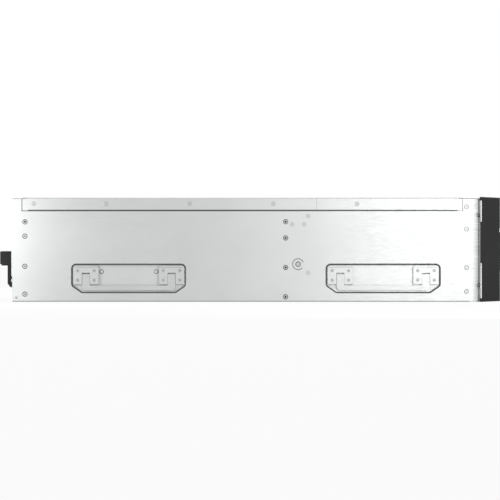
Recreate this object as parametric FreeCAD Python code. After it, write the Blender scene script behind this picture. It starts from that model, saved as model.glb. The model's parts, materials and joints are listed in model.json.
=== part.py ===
"""Disk shelf enclosure, 4 rack units high, with 24 drive carriers.

Millimetres, +Z up. The front, with the end caps, faces +X. The sheet metal stands on z = 0,
and the origin is the centre of the base of the whole part.
"""
import math
import os

import FreeCAD, Part

Vec = FreeCAD.Vector

# ---- driving dimensions ------------------------------------------------------------------
shell_length = 783.0  # side panels, rear edge to front edge
shell_width = 446.0  # over the side panels
shell_height = 175.0  # ground to the top of the covers
sheet = 1.5  # side panels and base
cover_sheet = 1.2
liner_sheet = 1.0  # cages, pans and module cases
cover_rise = 1.6  # covers, above the side panels

handle_reach = 20.4  # power handles, behind the rear edge
ear_thickness = 3.2
cap_depth = 30.0
ear_reach = 18.3  # ears and end caps, beyond the side panels
rack_hole_inset = 8.75  # from the outer edge of an ear
rack_hole_pitch = 117.475
rack_stud_radius = 3.0
rack_stud_reach = 4.0

joint_gap = 0.3  # beside anything that slides
seat_gap = 0.1  # under anything that slides
pin_gap = 0.1  # radial, round turning pins
butt_gap = 0.3  # between neighbouring sheets

ear_leg = 43.0  # inside the side panel
ear_leg_sheet = 1.5
ear_margin = 0.7  # ear, inside the panel's top and bottom
rack_knob_radius = 5.0
rack_knob_depth = 14.0

# end caps
cap_low = 0.2
cap_overhang = 0.4  # above the covers
cap_corner = 2.0
cap_wall = 2.0
cap_taper = 1.3  # each of top and bottom, over the depth
cap_band_height = 0.8
cap_splits = ((51.0, 52.6), (117.0, 123.0))  # heights of the grooves between the bands
cap_hook = 1.2  # wall that wraps round the ear's edge
cap_hook_low = 65.0
cap_hook_high = 134.0
cap_corner_hook = 6.0
cap_corner_reach = 1.6  # corner hooks, behind the ear's face

# top covers
cover_drop = 21.8
cover_rear_inset = 16.6
cover_front_inset = 29.6
cover_seam_reach = 41.0  # seam, ahead of the midplane
cover_bend = 2.5
cover_chamfer = 5.0
cover_reveal = 2.0  # groove under the flanges
joggle_gap = 0.05  # between a flange and the panel behind it

# base flange of the side panels
base_flange = 18.0
base_flange_front_inset = 17.0
base_relief = 2.0

# handle pockets and what is in them
rear_pocket_inset = 194.7  # middle of a pocket, from the rear edge
front_pocket_inset = 162.0  # from the front edge
pocket_width = 188.4
pocket_low = 16.7
pocket_high = 61.7
pocket_depth = 11.0
pocket_radius = 6.4
pocket_low_radius = 4.5
pocket_chamfer_x = 16.0
pocket_chamfer_z = 11.2
pocket_rim_width = 2.6  # slope of the panel round a pocket
pocket_rim_depth = 1.3
pocket_flange = 5.0

guide_near = 50.3  # from the pocket's centre
guide_far = 93.0
guide_low = 29.0
guide_high = 60.8
guide_thickness = 8.5
guide_radius = 4.0
guide_slot_near = 65.0
guide_slot_far = 78.5
guide_slot_top = 48.7

bail_low = 19.3
bail_bar = 8.0
bail_thickness = 5.0
bail_corner = 7.0
bail_inner_corner = 1.2
bail_pin_height = 44.9
bail_pin_radius = 2.0
bail_pin_length = 5.0
bail_set_back = 3.2  # bail's outer face, behind the panel's

# flush screws of each side panel
screw_radius = 4.1
screw_gap = 0.05
rear_screw_inset = 20.9  # from the rear edge
rear_screw_drops = (41.0, 65.0)  # below the top of the covers
rear_screw_heights = (59.6, 12.9)
middle_screw_setback = 8.5  # behind the midplane
middle_screw_drops = (40.8, 68.1)
middle_screw_heights = (57.5, 8.4)

# drive cage
bay_front_inset = 1.0
ledge_width = 2.2
ledge_thickness = 0.8
drive_width = 101.6
drive_height = 26.1
drive_length = 147.0
drive_gap = 4.0
carrier_front = 21.0  # ahead of the side panels
carrier_face_depth = 20.0
carrier_wall = 0.7
carrier_floor = 0.6
carrier_tongue = 5.0
lever_thickness = 3.0
lever_gap = 0.6
face_wall = 1.6
carrier_side = 24.0
carrier_back = 2.0
carrier_top_gap = 0.3
drive_end_gap = 1.0
drive_clearance = 3.0  # between the front drive and the carrier's face
lever_inset = 6.0
lever_height = 9.0
vent_count = 4
vent_low = 12.0
cage_foot = 34.3  # outer walls' flange on the side panel
socket_offset = -24.0  # socket, beside the middle of a column
window_offset = 26.0
socket_height_offset = 13.0  # middle of a socket, above a row's ledges

# midplane
midplane_gap = 11.6  # to the backs of the carriers
midplane_thickness = 2.4
socket_length = 44.0
socket_height = 7.0
socket_reach = 9.0
socket_wall = 1.4
tongue_thickness = 2.0
window_height = 12.0
window_width = 34.0

# rear cage and its modules
shelf_height = 88.0
module_tongue = 8.0
module_socket_reach = 11.0
module_socket_length = 90.0
module_gap = 13.0  # to the midplane
power_face = 2.0
power_wall = 1.0
io_face = 9.0
fan_radius = 31.0
fan_depth = 26.0
hub_radius = 12.0
blade_count = 7
blade_thickness = 1.2
guard_slot_count = 9
guard_bar = 1.8
inlet_width = 28.0
inlet_height = 20.0
inlet_depth = 18.0
rear_wall = 11.0  # cage's rear web, from the rear edge
rear_flange_front = 32.0
middle_flange = 18.7
inlet_inset = 35.2  # middle of an inlet, from a module's inner side
vent_margin = 8.0
spider_depth = 3.0
duct_wall = 2.0
fan_shaft_radius = 2.0
blade_margin = 3.0
blade_tip_gap = 1.0
blade_pitch = 35.0
lug_thickness = 3.0
lug_half = 3.1
port_height = 9.0
port_depth = 30.0
port_drop = 24.0
port_margin = 14.0
port_pitch = 30.0
port_widths = (19.0, 19.0, 19.0, 19.0, 13.0)
io_lever_rise = 14.0
io_lever_height = 10.0
io_lever_length = 150.0
io_tip = 12.0

# power handle, seen from the side
grip_low = 61.5
grip_high = 84.9
grip_inset = 2.5
arm_low = 23.8
arm_near = 2.2
arm_far = 7.6
notch_near = 3.9  # notch above the knuckle
notch_top = 42.4
handle_width = 58.0
handle_arm = 9.0
handle_pivot_height = 29.0
handle_pin_radius = 2.0
handle_inset = 6.0
knuckle_near = 1.3
knuckle_top = 35.0
knuckle_round = 6.0
grip_wall = 3.0
grip_round = 3.0

cap_height = shell_height + cap_overhang - cap_low
panel_height = shell_height - cover_rise
rack_span = shell_width + 2 * ear_reach
rack_hole_span = rack_span - 2 * rack_hole_inset
overall_length = handle_reach + shell_length + ear_thickness + cap_depth
rear_edge = handle_reach - overall_length / 2
half_width = shell_width / 2
panel_inner = half_width - sheet
joggle_depth = cover_sheet + joggle_gap
joggle_inner = half_width - joggle_depth - sheet
floor_top = 2 * sheet
cage_outer = half_width - pocket_depth - liner_sheet - butt_gap
ceiling = panel_height - cover_sheet - butt_gap
ear_rear = shell_length
ear_front = shell_length + ear_thickness
bay_rear = (
    shell_length
    + carrier_front
    - carrier_face_depth
    - drive_clearance
    - 2 * drive_length
    - drive_gap
    - drive_end_gap
    - carrier_back
)
midplane_front = bay_rear - midplane_gap
midplane_rear = midplane_front - midplane_thickness
module_front = midplane_rear - module_gap
cover_seam = midplane_front + cover_seam_reach
pocket_centres = (rear_pocket_inset, shell_length - front_pocket_inset)
module_middle = (cage_outer - liner_sheet / 2) / 2
inlet_place = liner_sheet / 2 + joint_gap + inlet_inset
flange_top = shell_height - cover_drop - cover_reveal - sheet - butt_gap
drive_row = ledge_thickness + seat_gap + carrier_floor + drive_height + carrier_top_gap
row_count = int((ceiling - floor_top) / drive_row)
row_pitch = (ceiling - floor_top) / row_count
drive_column = liner_sheet + 2 * joint_gap + 2 * carrier_wall + drive_width
column_count = int((2 * cage_outer - liner_sheet) / drive_column)
bay_width = (2 * cage_outer - (column_count + 1) * liner_sheet) / column_count
carrier_width = bay_width - 2 * joint_gap
carrier_height = row_pitch - ledge_thickness - seat_gap - carrier_top_gap
cage_rear = midplane_front + butt_gap


# ---- helpers -----------------------------------------------------------------------------
def at(distance):
    """X of a distance measured forward from the rear edge."""
    return rear_edge + distance


def block(xs, ys, zs):
    """Box between pairs of limits, in any order."""
    lows = [min(pair) for pair in (xs, ys, zs)]
    sizes = [abs(pair[1] - pair[0]) for pair in (xs, ys, zs)]
    return Part.makeBox(*sizes, Vec(*lows))


def rod(centre, axis, radius, length):
    """Cylinder that starts at centre and runs along axis."""
    return Part.makeCylinder(radius, length, Vec(*centre), Vec(*axis))


def outline(corners):
    """Closed wire in the XY plane through (x, y, radius) corners, rounded by tangent arcs."""
    stretches = []
    for i, (x, y, radius) in enumerate(corners):
        here = Vec(x, y, 0)
        if radius <= 0:
            stretches.append((here, None, here))
            continue
        before = (Vec(*corners[i - 1][:2], 0) - here).normalize()
        after = (Vec(*corners[(i + 1) % len(corners)][:2], 0) - here).normalize()
        half = before.getAngle(after) / 2
        middle = (before + after).normalize()
        crest = here + middle * (radius / math.sin(half) - radius)
        reach = radius / math.tan(half)
        stretches.append((here + before * reach, crest, here + after * reach))
    edges = []
    for i, (first, crest, last) in enumerate(stretches):
        if crest is not None:
            edges.append(Part.Arc(first, crest, last).toShape())
        following = stretches[(i + 1) % len(stretches)][0]
        if (following - last).Length > 1e-6:
            edges.append(Part.LineSegment(last, following).toShape())
    return Part.Wire(edges)


def side_prism(wire, near, far):
    """Solid with a side-view outline (x, z), between two values of y."""
    turned = wire.copy()
    turned.rotate(Vec(), Vec(1, 0, 0), 90)
    turned.translate(Vec(0, near, 0))
    return Part.Face(turned).extrude(Vec(0, far - near, 0))


def long_prism(wire, rear, front):
    """Solid with an end-view outline (y, z), between two values of x."""
    turned = wire.copy()
    turned.transformShape(FreeCAD.Matrix(0, 0, 1, rear, 1, 0, 0, 0, 0, 1, 0, 0))
    return Part.Face(turned).extrude(Vec(front - rear, 0, 0))


def plan_prism(wire, low, high):
    """Solid with a plan outline (x, y), between two heights."""
    raised = wire.copy()
    raised.translate(Vec(0, 0, low))
    return Part.Face(raised).extrude(Vec(0, 0, high - low))


def rectangle(us, vs, radius=0):
    low_u, high_u = min(us), max(us)
    low_v, high_v = min(vs), max(vs)
    return outline(
        [
            (low_u, low_v, radius),
            (high_u, low_v, radius),
            (high_u, high_v, radius),
            (low_u, high_v, radius),
        ]
    )


def grown(wire, distance):
    """The wire offset outwards in its own plane."""
    return wire.makeOffset2D(distance, 0, False, False, False)


def join(pieces):
    first, *others = pieces
    return first.fuse(others).removeSplitter() if others else first


def other_side(shape):
    """The same piece on the right-hand side."""
    return shape.mirror(Vec(), Vec(0, 1, 0))


def pair(shape):
    return [shape, other_side(shape)]


def save(name, solids):
    """Write one node, as one solid or a group of separate solids."""
    solids = solids if isinstance(solids, list) else [solids]
    flat = [one for shape in solids for one in shape.Solids]
    shape = flat[0] if len(flat) == 1 else Part.makeCompound(flat)
    shape.exportStep(f"parts/{name}.step")


# ---- sheet metal shell -------------------------------------------------------------------
def pocket_outline(centre):
    """Side view of a lift-handle pocket, with sloped lower corners."""
    rear, front = centre - pocket_width / 2, centre + pocket_width / 2
    slope = pocket_low + pocket_chamfer_z
    corners = [
        (rear + pocket_chamfer_x, pocket_low, pocket_low_radius),
        (front - pocket_chamfer_x, pocket_low, pocket_low_radius),
        (front, slope, pocket_low_radius),
        (front, pocket_high, pocket_radius),
        (rear, pocket_high, pocket_radius),
        (rear, slope, pocket_low_radius),
    ]
    return outline([(at(x), z, radius) for x, z, radius in corners])


def side_panel():
    """Left side panel: joggled under the cover, flanged under the base."""
    lid = (at(cover_rear_inset - butt_gap), at(shell_length - cover_front_inset + butt_gap))
    lid_low = shell_height - cover_drop - cover_reveal
    strip_high = shell_height - cover_bend - butt_gap
    plate = block((at(0), at(shell_length)), (-half_width, -panel_inner), (0, panel_height))
    strip = block(
        (lid[0] - sheet, lid[1] + sheet),
        (-half_width + joggle_depth, -joggle_inner),
        (lid_low - sheet, strip_high),
    )
    step = block(lid, (-half_width, -half_width + joggle_depth), (lid_low, shell_height))
    crest = block(lid, (-half_width, -panel_inner), (strip_high, panel_height))
    foot_front = at(shell_length - base_flange_front_inset)
    foot = block((at(0), foot_front), (-half_width, -half_width + base_flange), (0, sheet))
    relief = block(
        (foot_front, foot_front + base_relief), (-half_width, -panel_inner), (0, 2 * base_relief)
    )
    panel = join([plate, strip, foot]).cut([step, crest, relief])
    bend = [
        edge
        for edge in panel.Edges
        if edge.Length > shell_length / 2
        and abs(edge.CenterOfMass.y + half_width) < 1e-3
        and edge.CenterOfMass.z < 1e-3
    ]
    panel = panel.makeFillet(sheet * 0.95, bend)
    holes = []
    for distance, height in panel_screw_places():
        holes.append(
            rod((at(distance), -half_width, height), (0, 1, 0), screw_radius + screw_gap, sheet)
        )
    for centre in pocket_centres:
        holes.append(side_prism(pocket_outline(centre), -half_width, -panel_inner))
        holes.append(pocket_rim(centre))
    return panel.cut(holes)


def pocket_rim(centre):
    """Slope that leads from the face of the panel into a pocket."""
    inner = pocket_outline(centre)
    outer = grown(inner, pocket_rim_width)
    wires = []
    for wire, y in ((outer, -half_width), (inner, -half_width + pocket_rim_depth)):
        turned = wire.copy()
        turned.rotate(Vec(), Vec(1, 0, 0), 90)
        turned.translate(Vec(0, y, 0))
        wires.append(turned)
    return Part.makeLoft(wires, True, True)


def panel_screw_places():
    """Distance and height of each flush screw of a side panel."""
    places = []
    for distance, drops, heights in (
        (rear_screw_inset, rear_screw_drops, rear_screw_heights),
        (midplane_rear - middle_screw_setback, middle_screw_drops, middle_screw_heights),
    ):
        places += [(distance, shell_height - drop) for drop in drops]
        places += [(distance, height) for height in heights]
    return places


def panel_screw(place):
    """Flush screw head in the side panel, standing on the cage's flange."""
    distance, height = place
    return rod((at(distance), -half_width, height), (0, 1, 0), screw_radius, sheet)


def top_cover(rear, front):
    """Cover with a flange down each side, from one distance to another."""
    deep = cover_sheet
    bend = cover_bend
    low = shell_height - cover_drop
    corners = [
        (-half_width, low, 0),
        (-half_width + deep, low, 0),
        (-half_width + deep, shell_height - deep, bend - deep),
        (half_width - deep, shell_height - deep, bend - deep),
        (half_width - deep, low, 0),
        (half_width, low, 0),
        (half_width, shell_height, bend),
        (-half_width, shell_height, bend),
    ]
    cover = long_prism(outline(corners), at(rear), at(front))
    return cover


def cover_corner(distance, inward):
    """Wedge that cuts the lower corner of a cover's flange."""
    low = shell_height - cover_drop
    wedge = outline(
        [(at(distance), low, 0), (at(distance) + inward, low, 0), (at(distance), low + abs(inward), 0)]
    )
    return side_prism(wedge, -half_width, half_width)


def covers():
    rear_end, front_end = cover_rear_inset, shell_length - cover_front_inset
    rear = top_cover(rear_end, cover_seam - butt_gap / 2)
    rear = rear.cut(cover_corner(rear_end, cover_chamfer))
    front = top_cover(cover_seam + butt_gap / 2, front_end)
    front = front.cut(cover_corner(front_end, -cover_chamfer))
    return rear, front


def cross_rail(rear, front):
    """Channel across the top between the side panels, beside a cover."""
    top = panel_height
    sides = (-panel_inner, panel_inner)
    roof = block((at(rear), at(front)), sides, (top - cover_sheet, top))
    return roof


def base_pan():
    inset = butt_gap
    return block(
        (at(inset), at(shell_length - inset)),
        (-panel_inner + butt_gap, panel_inner - butt_gap),
        (sheet, floor_top),
    )


def pocket_pan(centre):
    """Drawn pan behind a pocket, with a flange against the inside of the panel."""
    wire = pocket_outline(centre)
    floor = -half_width + pocket_depth
    body = side_prism(grown(wire, liner_sheet), -panel_inner, floor + liner_sheet)
    around = liner_sheet + pocket_flange
    flange = side_prism(
        rectangle(
            (at(centre) - pocket_width / 2 - around, at(centre) + pocket_width / 2 + around),
            (pocket_low - around, pocket_high + around),
        ),
        -panel_inner,
        -panel_inner + liner_sheet,
    )
    hollow = side_prism(wire, -panel_inner, floor)
    return join([body, flange]).cut(hollow)


# ---- lift handles ------------------------------------------------------------------------
def guide(centre, side):
    """Guide of a bail's leg: an inverted U with a channel that holds the pins to the pan."""
    floor = -half_width + pocket_depth
    corners = [
        (guide_near, guide_low, 0),
        (guide_slot_near, guide_low, 0),
        (guide_slot_near, guide_slot_top, 0),
        (guide_slot_far, guide_slot_top, 0),
        (guide_slot_far, guide_low, 0),
        (guide_far, guide_low, 0),
        (guide_far, guide_high, guide_radius),
        (guide_near, guide_high, guide_radius),
    ]
    if side < 0:
        corners.reverse()
    wire = outline([(at(centre + side * x), z, radius) for x, z, radius in corners])
    plate = side_prism(wire, floor - guide_thickness, floor)
    channel_half = (guide_slot_far - guide_slot_near) / 2 + bail_pin_length
    middle = at(centre + side * (guide_slot_near + guide_slot_far) / 2)
    play = bail_pin_radius + pin_gap
    channel = block(
        (middle - channel_half, middle + channel_half),
        (bail_axis_y() - play, floor),
        (bail_pin_height - play, bail_pin_height + play),
    )
    return plate.cut(channel)


def bail_axis_y():
    return -half_width + bail_set_back + bail_thickness / 2


def lift_handle(centre):
    """Bail with flat legs, hung on two pins at the top of each leg."""
    outer = guide_slot_far - joint_gap
    inner = guide_slot_near + joint_gap
    crown = bail_thickness / 2
    top = bail_pin_height + crown
    near = -half_width + bail_set_back
    corners = [
        (-outer, bail_low, bail_corner),
        (outer, bail_low, bail_corner),
        (outer, top, 0),
        (inner, top, 0),
        (inner, bail_low + bail_bar, bail_inner_corner),
        (-inner, bail_low + bail_bar, bail_inner_corner),
        (-inner, top, 0),
        (-outer, top, 0),
    ]
    wire = outline([(at(centre + x), z, radius) for x, z, radius in corners])
    bail = side_prism(wire, near, near + bail_thickness)
    crowns = [
        edge
        for edge in bail.Edges
        if abs(edge.CenterOfMass.z - top) < 1e-3 and edge.BoundBox.YLength < 1e-3
    ]
    bail = bail.makeChamfer(crown * 0.4, crowns)
    pins = []
    for side in (-1, 1):
        middle = at(centre + side * (inner + outer) / 2)
        length = outer - inner + 2 * bail_pin_length
        pins.append(
            rod(
                (middle - length / 2, bail_axis_y(), bail_pin_height),
                (1, 0, 0),
                bail_pin_radius,
                length,
            )
        )
    return join([bail] + pins)


# ---- rack ears and end caps --------------------------------------------------------------
def rack_screw_heights():
    middle = panel_height / 2
    return (middle - rack_hole_pitch / 2, middle + rack_hole_pitch / 2)


def rack_ear():
    """Left rack ear: a front plate, and a leg riveted inside the side panel."""
    outer = rack_span / 2 - cap_hook - joint_gap
    low, high = ear_margin, panel_height - ear_margin
    plate = block(
        (at(ear_rear), at(ear_front)), (-outer, -cage_outer - butt_gap), (low, high)
    )
    leg = block(
        (at(shell_length - ear_leg), at(ear_rear)),
        (-panel_inner, -panel_inner + ear_leg_sheet),
        (floor_top + butt_gap, flange_top),
    )
    ear = join([plate, leg])
    holes = [
        rod((at(ear_rear), -rack_hole_span / 2, z), (1, 0, 0), rack_knob_radius + pin_gap, ear_thickness)
        for z in rack_screw_heights()
    ]
    return ear.cut(holes)


def rack_screw(height):
    """Captive screw of a rack ear: a stud behind the ear, and a knob through it."""
    y = -rack_hole_span / 2
    stud = rod(
        (at(ear_rear) - rack_stud_reach, y, height), (1, 0, 0), rack_stud_radius, rack_stud_reach
    )
    knob = rod(
        (at(ear_rear), y, height), (1, 0, 0), rack_knob_radius, ear_thickness + rack_knob_depth
    )
    return join([stud, knob])


def cap_section(distance, shrink, inset):
    """End view of a left end cap at one distance from the rear edge."""
    outer, inner = -rack_span / 2, -cage_outer - butt_gap
    low, high = cap_low, cap_low + cap_height
    left, right = outer + inset, inner - inset
    bottom, top = low + shrink + inset, high - shrink - inset
    cut = cap_corner
    wire = outline(
        [
            (left + cut, bottom, 0),
            (right, bottom, 0),
            (right, top, 0),
            (left + cut, top, 0),
            (left, top - cut, 0),
            (left, bottom + cut, 0),
        ]
    )
    wire.transformShape(FreeCAD.Matrix(0, 0, 1, at(distance), 1, 0, 0, 0, 0, 1, 0, 0))
    return wire


def end_cap():
    """Moulded left end cap: tapered shell, open at the back, with three raised bands."""
    rear, front = ear_front, ear_front + cap_depth - cap_band_height
    skin = Part.makeLoft(
        [cap_section(rear, 0, 0), cap_section(front, cap_taper, 0)], True, True
    )
    hollow = Part.makeLoft(
        [
            cap_section(rear, 0, cap_wall),
            cap_section(front - cap_wall, cap_taper, cap_wall),
        ],
        True,
        True,
    )
    outer, inner = -rack_span / 2, -cage_outer - butt_gap
    bands = Part.Face(cap_section(front, cap_taper, 0)).extrude(Vec(cap_band_height, 0, 0))
    grooves = [
        block((at(front), at(front + cap_band_height)), (outer, inner), split)
        for split in cap_splits
    ]
    hooks = []
    for start, end, back in (
        (cap_hook_low, cap_hook_high, 0),
        (cap_low, cap_low + cap_corner_hook, cap_corner_reach),
        (cap_low + cap_height - cap_corner_hook, cap_low + cap_height, cap_corner_reach),
    ):
        hooks.append(
            block((at(ear_rear - back), at(rear + cap_wall)), (outer, outer + cap_hook), (start, end))
        )
    return join([skin.cut(hollow), bands.cut(grooves)] + hooks)


# ---- drive cage, midplane and carriers ---------------------------------------------------
def row_floor(row):
    """Top of the ledges of a row."""
    return floor_top + row * row_pitch + ledge_thickness


def column_centre(column):
    return -cage_outer + liner_sheet + bay_width / 2 + column * (bay_width + liner_sheet)


def cage_wall(y, left, right):
    """Wall of the drive cage with a ledge for every row on the chosen sides."""
    corners = [(y, floor_top, 0), (y + liner_sheet, floor_top, 0)]
    reach = y + liner_sheet + (ledge_width if right else 0)
    for row in range(row_count if right else 0):
        high = row_floor(row)
        if row:
            corners.append((y + liner_sheet, high - ledge_thickness, 0))
        else:
            corners.pop()
        corners += [
            (reach, high - ledge_thickness, 0),
            (reach, high, 0),
            (y + liner_sheet, high, 0),
        ]
    corners += [(y + liner_sheet, ceiling, 0), (y, ceiling, 0)]
    for row in reversed(range(row_count if left else 0)):
        high = row_floor(row)
        corners += [(y, high, 0), (y - ledge_width, high, 0), (y - ledge_width, high - ledge_thickness, 0)]
        if row:
            corners.append((y, high - ledge_thickness, 0))
        else:
            corners.pop(0)
    return long_prism(outline(corners), at(cage_rear), at(shell_length - bay_front_inset))


def flanged_wall(rear, front, flanges, thickness):
    """Cage side wall in plan: flanges against the panel, joined to the wall by webs.

    Each flange is (start, end, web), in distances from the rear edge.
    """
    low, high = floor_top, flange_top
    panel_side = (-panel_inner, -panel_inner + thickness)
    pieces = []
    for start, end, web in flanges:
        pieces.append(block((at(start), at(end)), panel_side, (low, high)))
        inward = web + thickness if web == start else web - thickness
        pieces.append(block((at(web), at(inward)), (-panel_inner, -cage_outer + thickness), (low, high)))
    return pieces


def drive_cage():
    """Five walls that guide four columns of carriers; the outer two are fixed to the panels."""
    walls = []
    for column in range(1, column_count):
        y = column_centre(column) - bay_width / 2 - liner_sheet
        walls.append(cage_wall(y, True, True))
    outer = cage_wall(-cage_outer, False, True)
    flanges = flanged_wall(
        cage_rear, shell_length, [(cage_rear, cage_rear + cage_foot, cage_rear + cage_foot)], liner_sheet
    )
    return walls + pair(join([outer] + flanges))


def midplane_board():
    edge = cage_outer - liner_sheet - butt_gap
    board = block(
        (at(midplane_rear), at(midplane_front)), (-edge, edge), (floor_top + butt_gap, ceiling - butt_gap)
    )
    windows = []
    for column in range(column_count):
        y = column_centre(column) + window_offset
        for row in range(row_count):
            z = row_floor(row) + socket_height_offset
            windows.append(
                block(
                    (at(midplane_rear), at(midplane_front)),
                    (y - window_width / 2, y + window_width / 2),
                    (z - window_height / 2, z + window_height / 2),
                )
            )
    return board.cut(windows)


def socket(face, direction, reach, length, y, z):
    """Shrouded socket on the midplane, open away from the board."""
    body = block(
        (at(face), at(face + direction * reach)),
        (y - length / 2, y + length / 2),
        (z - socket_height / 2, z + socket_height / 2),
    )
    slot_half = tongue_thickness / 2 + joint_gap
    slot = block(
        (at(face + direction * socket_wall), at(face + direction * reach)),
        (y - length / 2 + socket_wall, y + length / 2 - socket_wall),
        (z - slot_half, z + slot_half),
    )
    return body.cut(slot)


def midplane_connectors():
    sockets = []
    for column in range(column_count):
        for row in range(row_count):
            sockets.append(
                socket(
                    midplane_front,
                    1,
                    socket_reach,
                    socket_length,
                    column_centre(column) + socket_offset,
                    row_floor(row) + socket_height_offset,
                )
            )
    for side in (-1, 1):
        for height in module_socket_heights():
            sockets.append(
                socket(
                    midplane_rear, -1, module_socket_reach, module_socket_length, side * module_middle, height
                )
            )
    return sockets


def carrier_face(y, low, high):
    """Front of a carrier: a box with vent windows, open at the back."""
    half = carrier_width / 2
    rear, front = shell_length + carrier_front - carrier_face_depth, shell_length + carrier_front
    shell = block((at(rear), at(front)), (y - half, y + half), (low, high))
    hollow = block(
        (at(rear), at(front - face_wall)),
        (y - half + face_wall, y + half - face_wall),
        (low + face_wall, high - face_wall),
    )
    windows = []
    span = carrier_width - 4 * face_wall
    pitch = span / vent_count
    for i in range(vent_count):
        start = y - span / 2 + i * pitch
        windows.append(
            block(
                (at(front - face_wall), at(front)),
                (start + face_wall / 2, start + pitch - face_wall / 2),
                (low + vent_low, high - 2 * face_wall),
            )
        )
    return shell.cut([hollow] + windows)


def drive_carrier(column, row):
    """Carrier for two drives in line: tray, face, lever, rear board and the drives."""
    y = column_centre(column)
    low = row_floor(row) + seat_gap
    high = low + carrier_height
    half = carrier_width / 2
    rear, front = bay_rear, shell_length + carrier_front - carrier_face_depth
    u = [
        (y - half, low, 0),
        (y + half, low, 0),
        (y + half, low + carrier_side, 0),
        (y + half - carrier_wall, low + carrier_side, 0),
        (y + half - carrier_wall, low + carrier_floor, 0),
        (y - half + carrier_wall, low + carrier_floor, 0),
        (y - half + carrier_wall, low + carrier_side, 0),
        (y - half, low + carrier_side, 0),
    ]
    tray = long_prism(outline(u), at(rear), at(front))
    back = block((at(rear), at(rear + carrier_back)), (y - half, y + half), (low, low + carrier_side))
    plug_z = row_floor(row) + socket_height_offset
    plug_y = y + socket_offset
    plug_half = socket_length / 2 - socket_wall - joint_gap
    tongue = block(
        (at(midplane_front + socket_wall + butt_gap), at(rear)),
        (plug_y - plug_half, plug_y + plug_half),
        (plug_z - tongue_thickness / 2, plug_z + tongue_thickness / 2),
    )
    tray = join([tray, back, tongue, carrier_face(y, low, high)])
    drives = []
    start = rear + carrier_back + drive_end_gap
    for place in range(2):
        drives.append(
            block(
                (at(start), at(start + drive_length)),
                (y - drive_width / 2, y + drive_width / 2),
                (low + carrier_floor, low + carrier_floor + drive_height),
            )
        )
        start += drive_length + drive_gap
    face = shell_length + carrier_front
    lever = [
        (at(face), y - half + lever_inset, 0),
        (at(face + lever_thickness), y - half + lever_inset + lever_thickness, 0),
        (at(face + lever_thickness), y + half - lever_inset - lever_thickness, 0),
        (at(face), y + half - lever_inset, 0),
    ]
    bar = plan_prism(outline(lever), low + lever_gap, low + lever_height)
    return [tray, bar] + drives


# ---- rear cage and modules ---------------------------------------------------------------
def module_socket_heights():
    return ((floor_top + shelf_height) / 2, (shelf_height + ceiling) / 2)


def rear_cage():
    """Shelf, centre wall and side walls round the four rear modules."""
    front = midplane_rear - butt_gap
    low, high = floor_top, ceiling
    wall = (-liner_sheet / 2, liner_sheet / 2)
    shelf = (shelf_height - liner_sheet, shelf_height)
    centre = block((at(rear_wall), at(front)), wall, (low, high))
    deck = block(
        (at(rear_wall), at(front)), (-cage_outer + liner_sheet, cage_outer - liner_sheet), shelf
    )
    sides = []
    flanged = flanged_wall(
        rear_wall,
        front,
        [(rear_wall, rear_flange_front, rear_wall), (front - middle_flange, front, front)],
        liner_sheet,
    )
    web = block(
        (at(rear_wall), at(front)), (-cage_outer, -cage_outer + liner_sheet), (low, flange_top)
    )
    left = join([web] + flanged)
    for one in pair(left):
        sides.append(one)
    return join([centre, deck] + sides)


def module_limits(side, upper):
    """Y and Z limits of a rear module on one side."""
    near = liner_sheet / 2 + joint_gap
    far = cage_outer - liner_sheet - joint_gap
    ys = (near, far) if side > 0 else (-far, -near)
    low = (shelf_height if upper else floor_top) + seat_gap
    high = (ceiling if upper else shelf_height - liner_sheet) - joint_gap
    return ys, (low, high)


def module_case(rear, side, upper):
    """Sheet case of a module, with a plug at the front for the midplane."""
    ys, zs = module_limits(side, upper)
    case = block((at(rear), at(module_front)), ys, zs)
    wall = power_wall
    hollow = block(
        (at(rear + wall), at(module_front - wall)),
        (ys[0] + wall, ys[1] - wall),
        (zs[0] + wall, zs[1] - wall),
    )
    plug_z = module_socket_heights()[1 if upper else 0]
    plug_y = side * module_middle
    plug_half = module_socket_length / 2 - socket_wall - joint_gap
    plug = block(
        (at(module_front), at(midplane_rear - socket_wall - butt_gap)),
        (plug_y - plug_half, plug_y + plug_half),
        (plug_z - tongue_thickness / 2, plug_z + tongue_thickness / 2),
    )
    return case.cut(hollow), plug, ys, zs


def fan_centre(side):
    ys, zs = module_limits(side, False)
    return side * module_middle, (zs[0] + zs[1]) / 2


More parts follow.
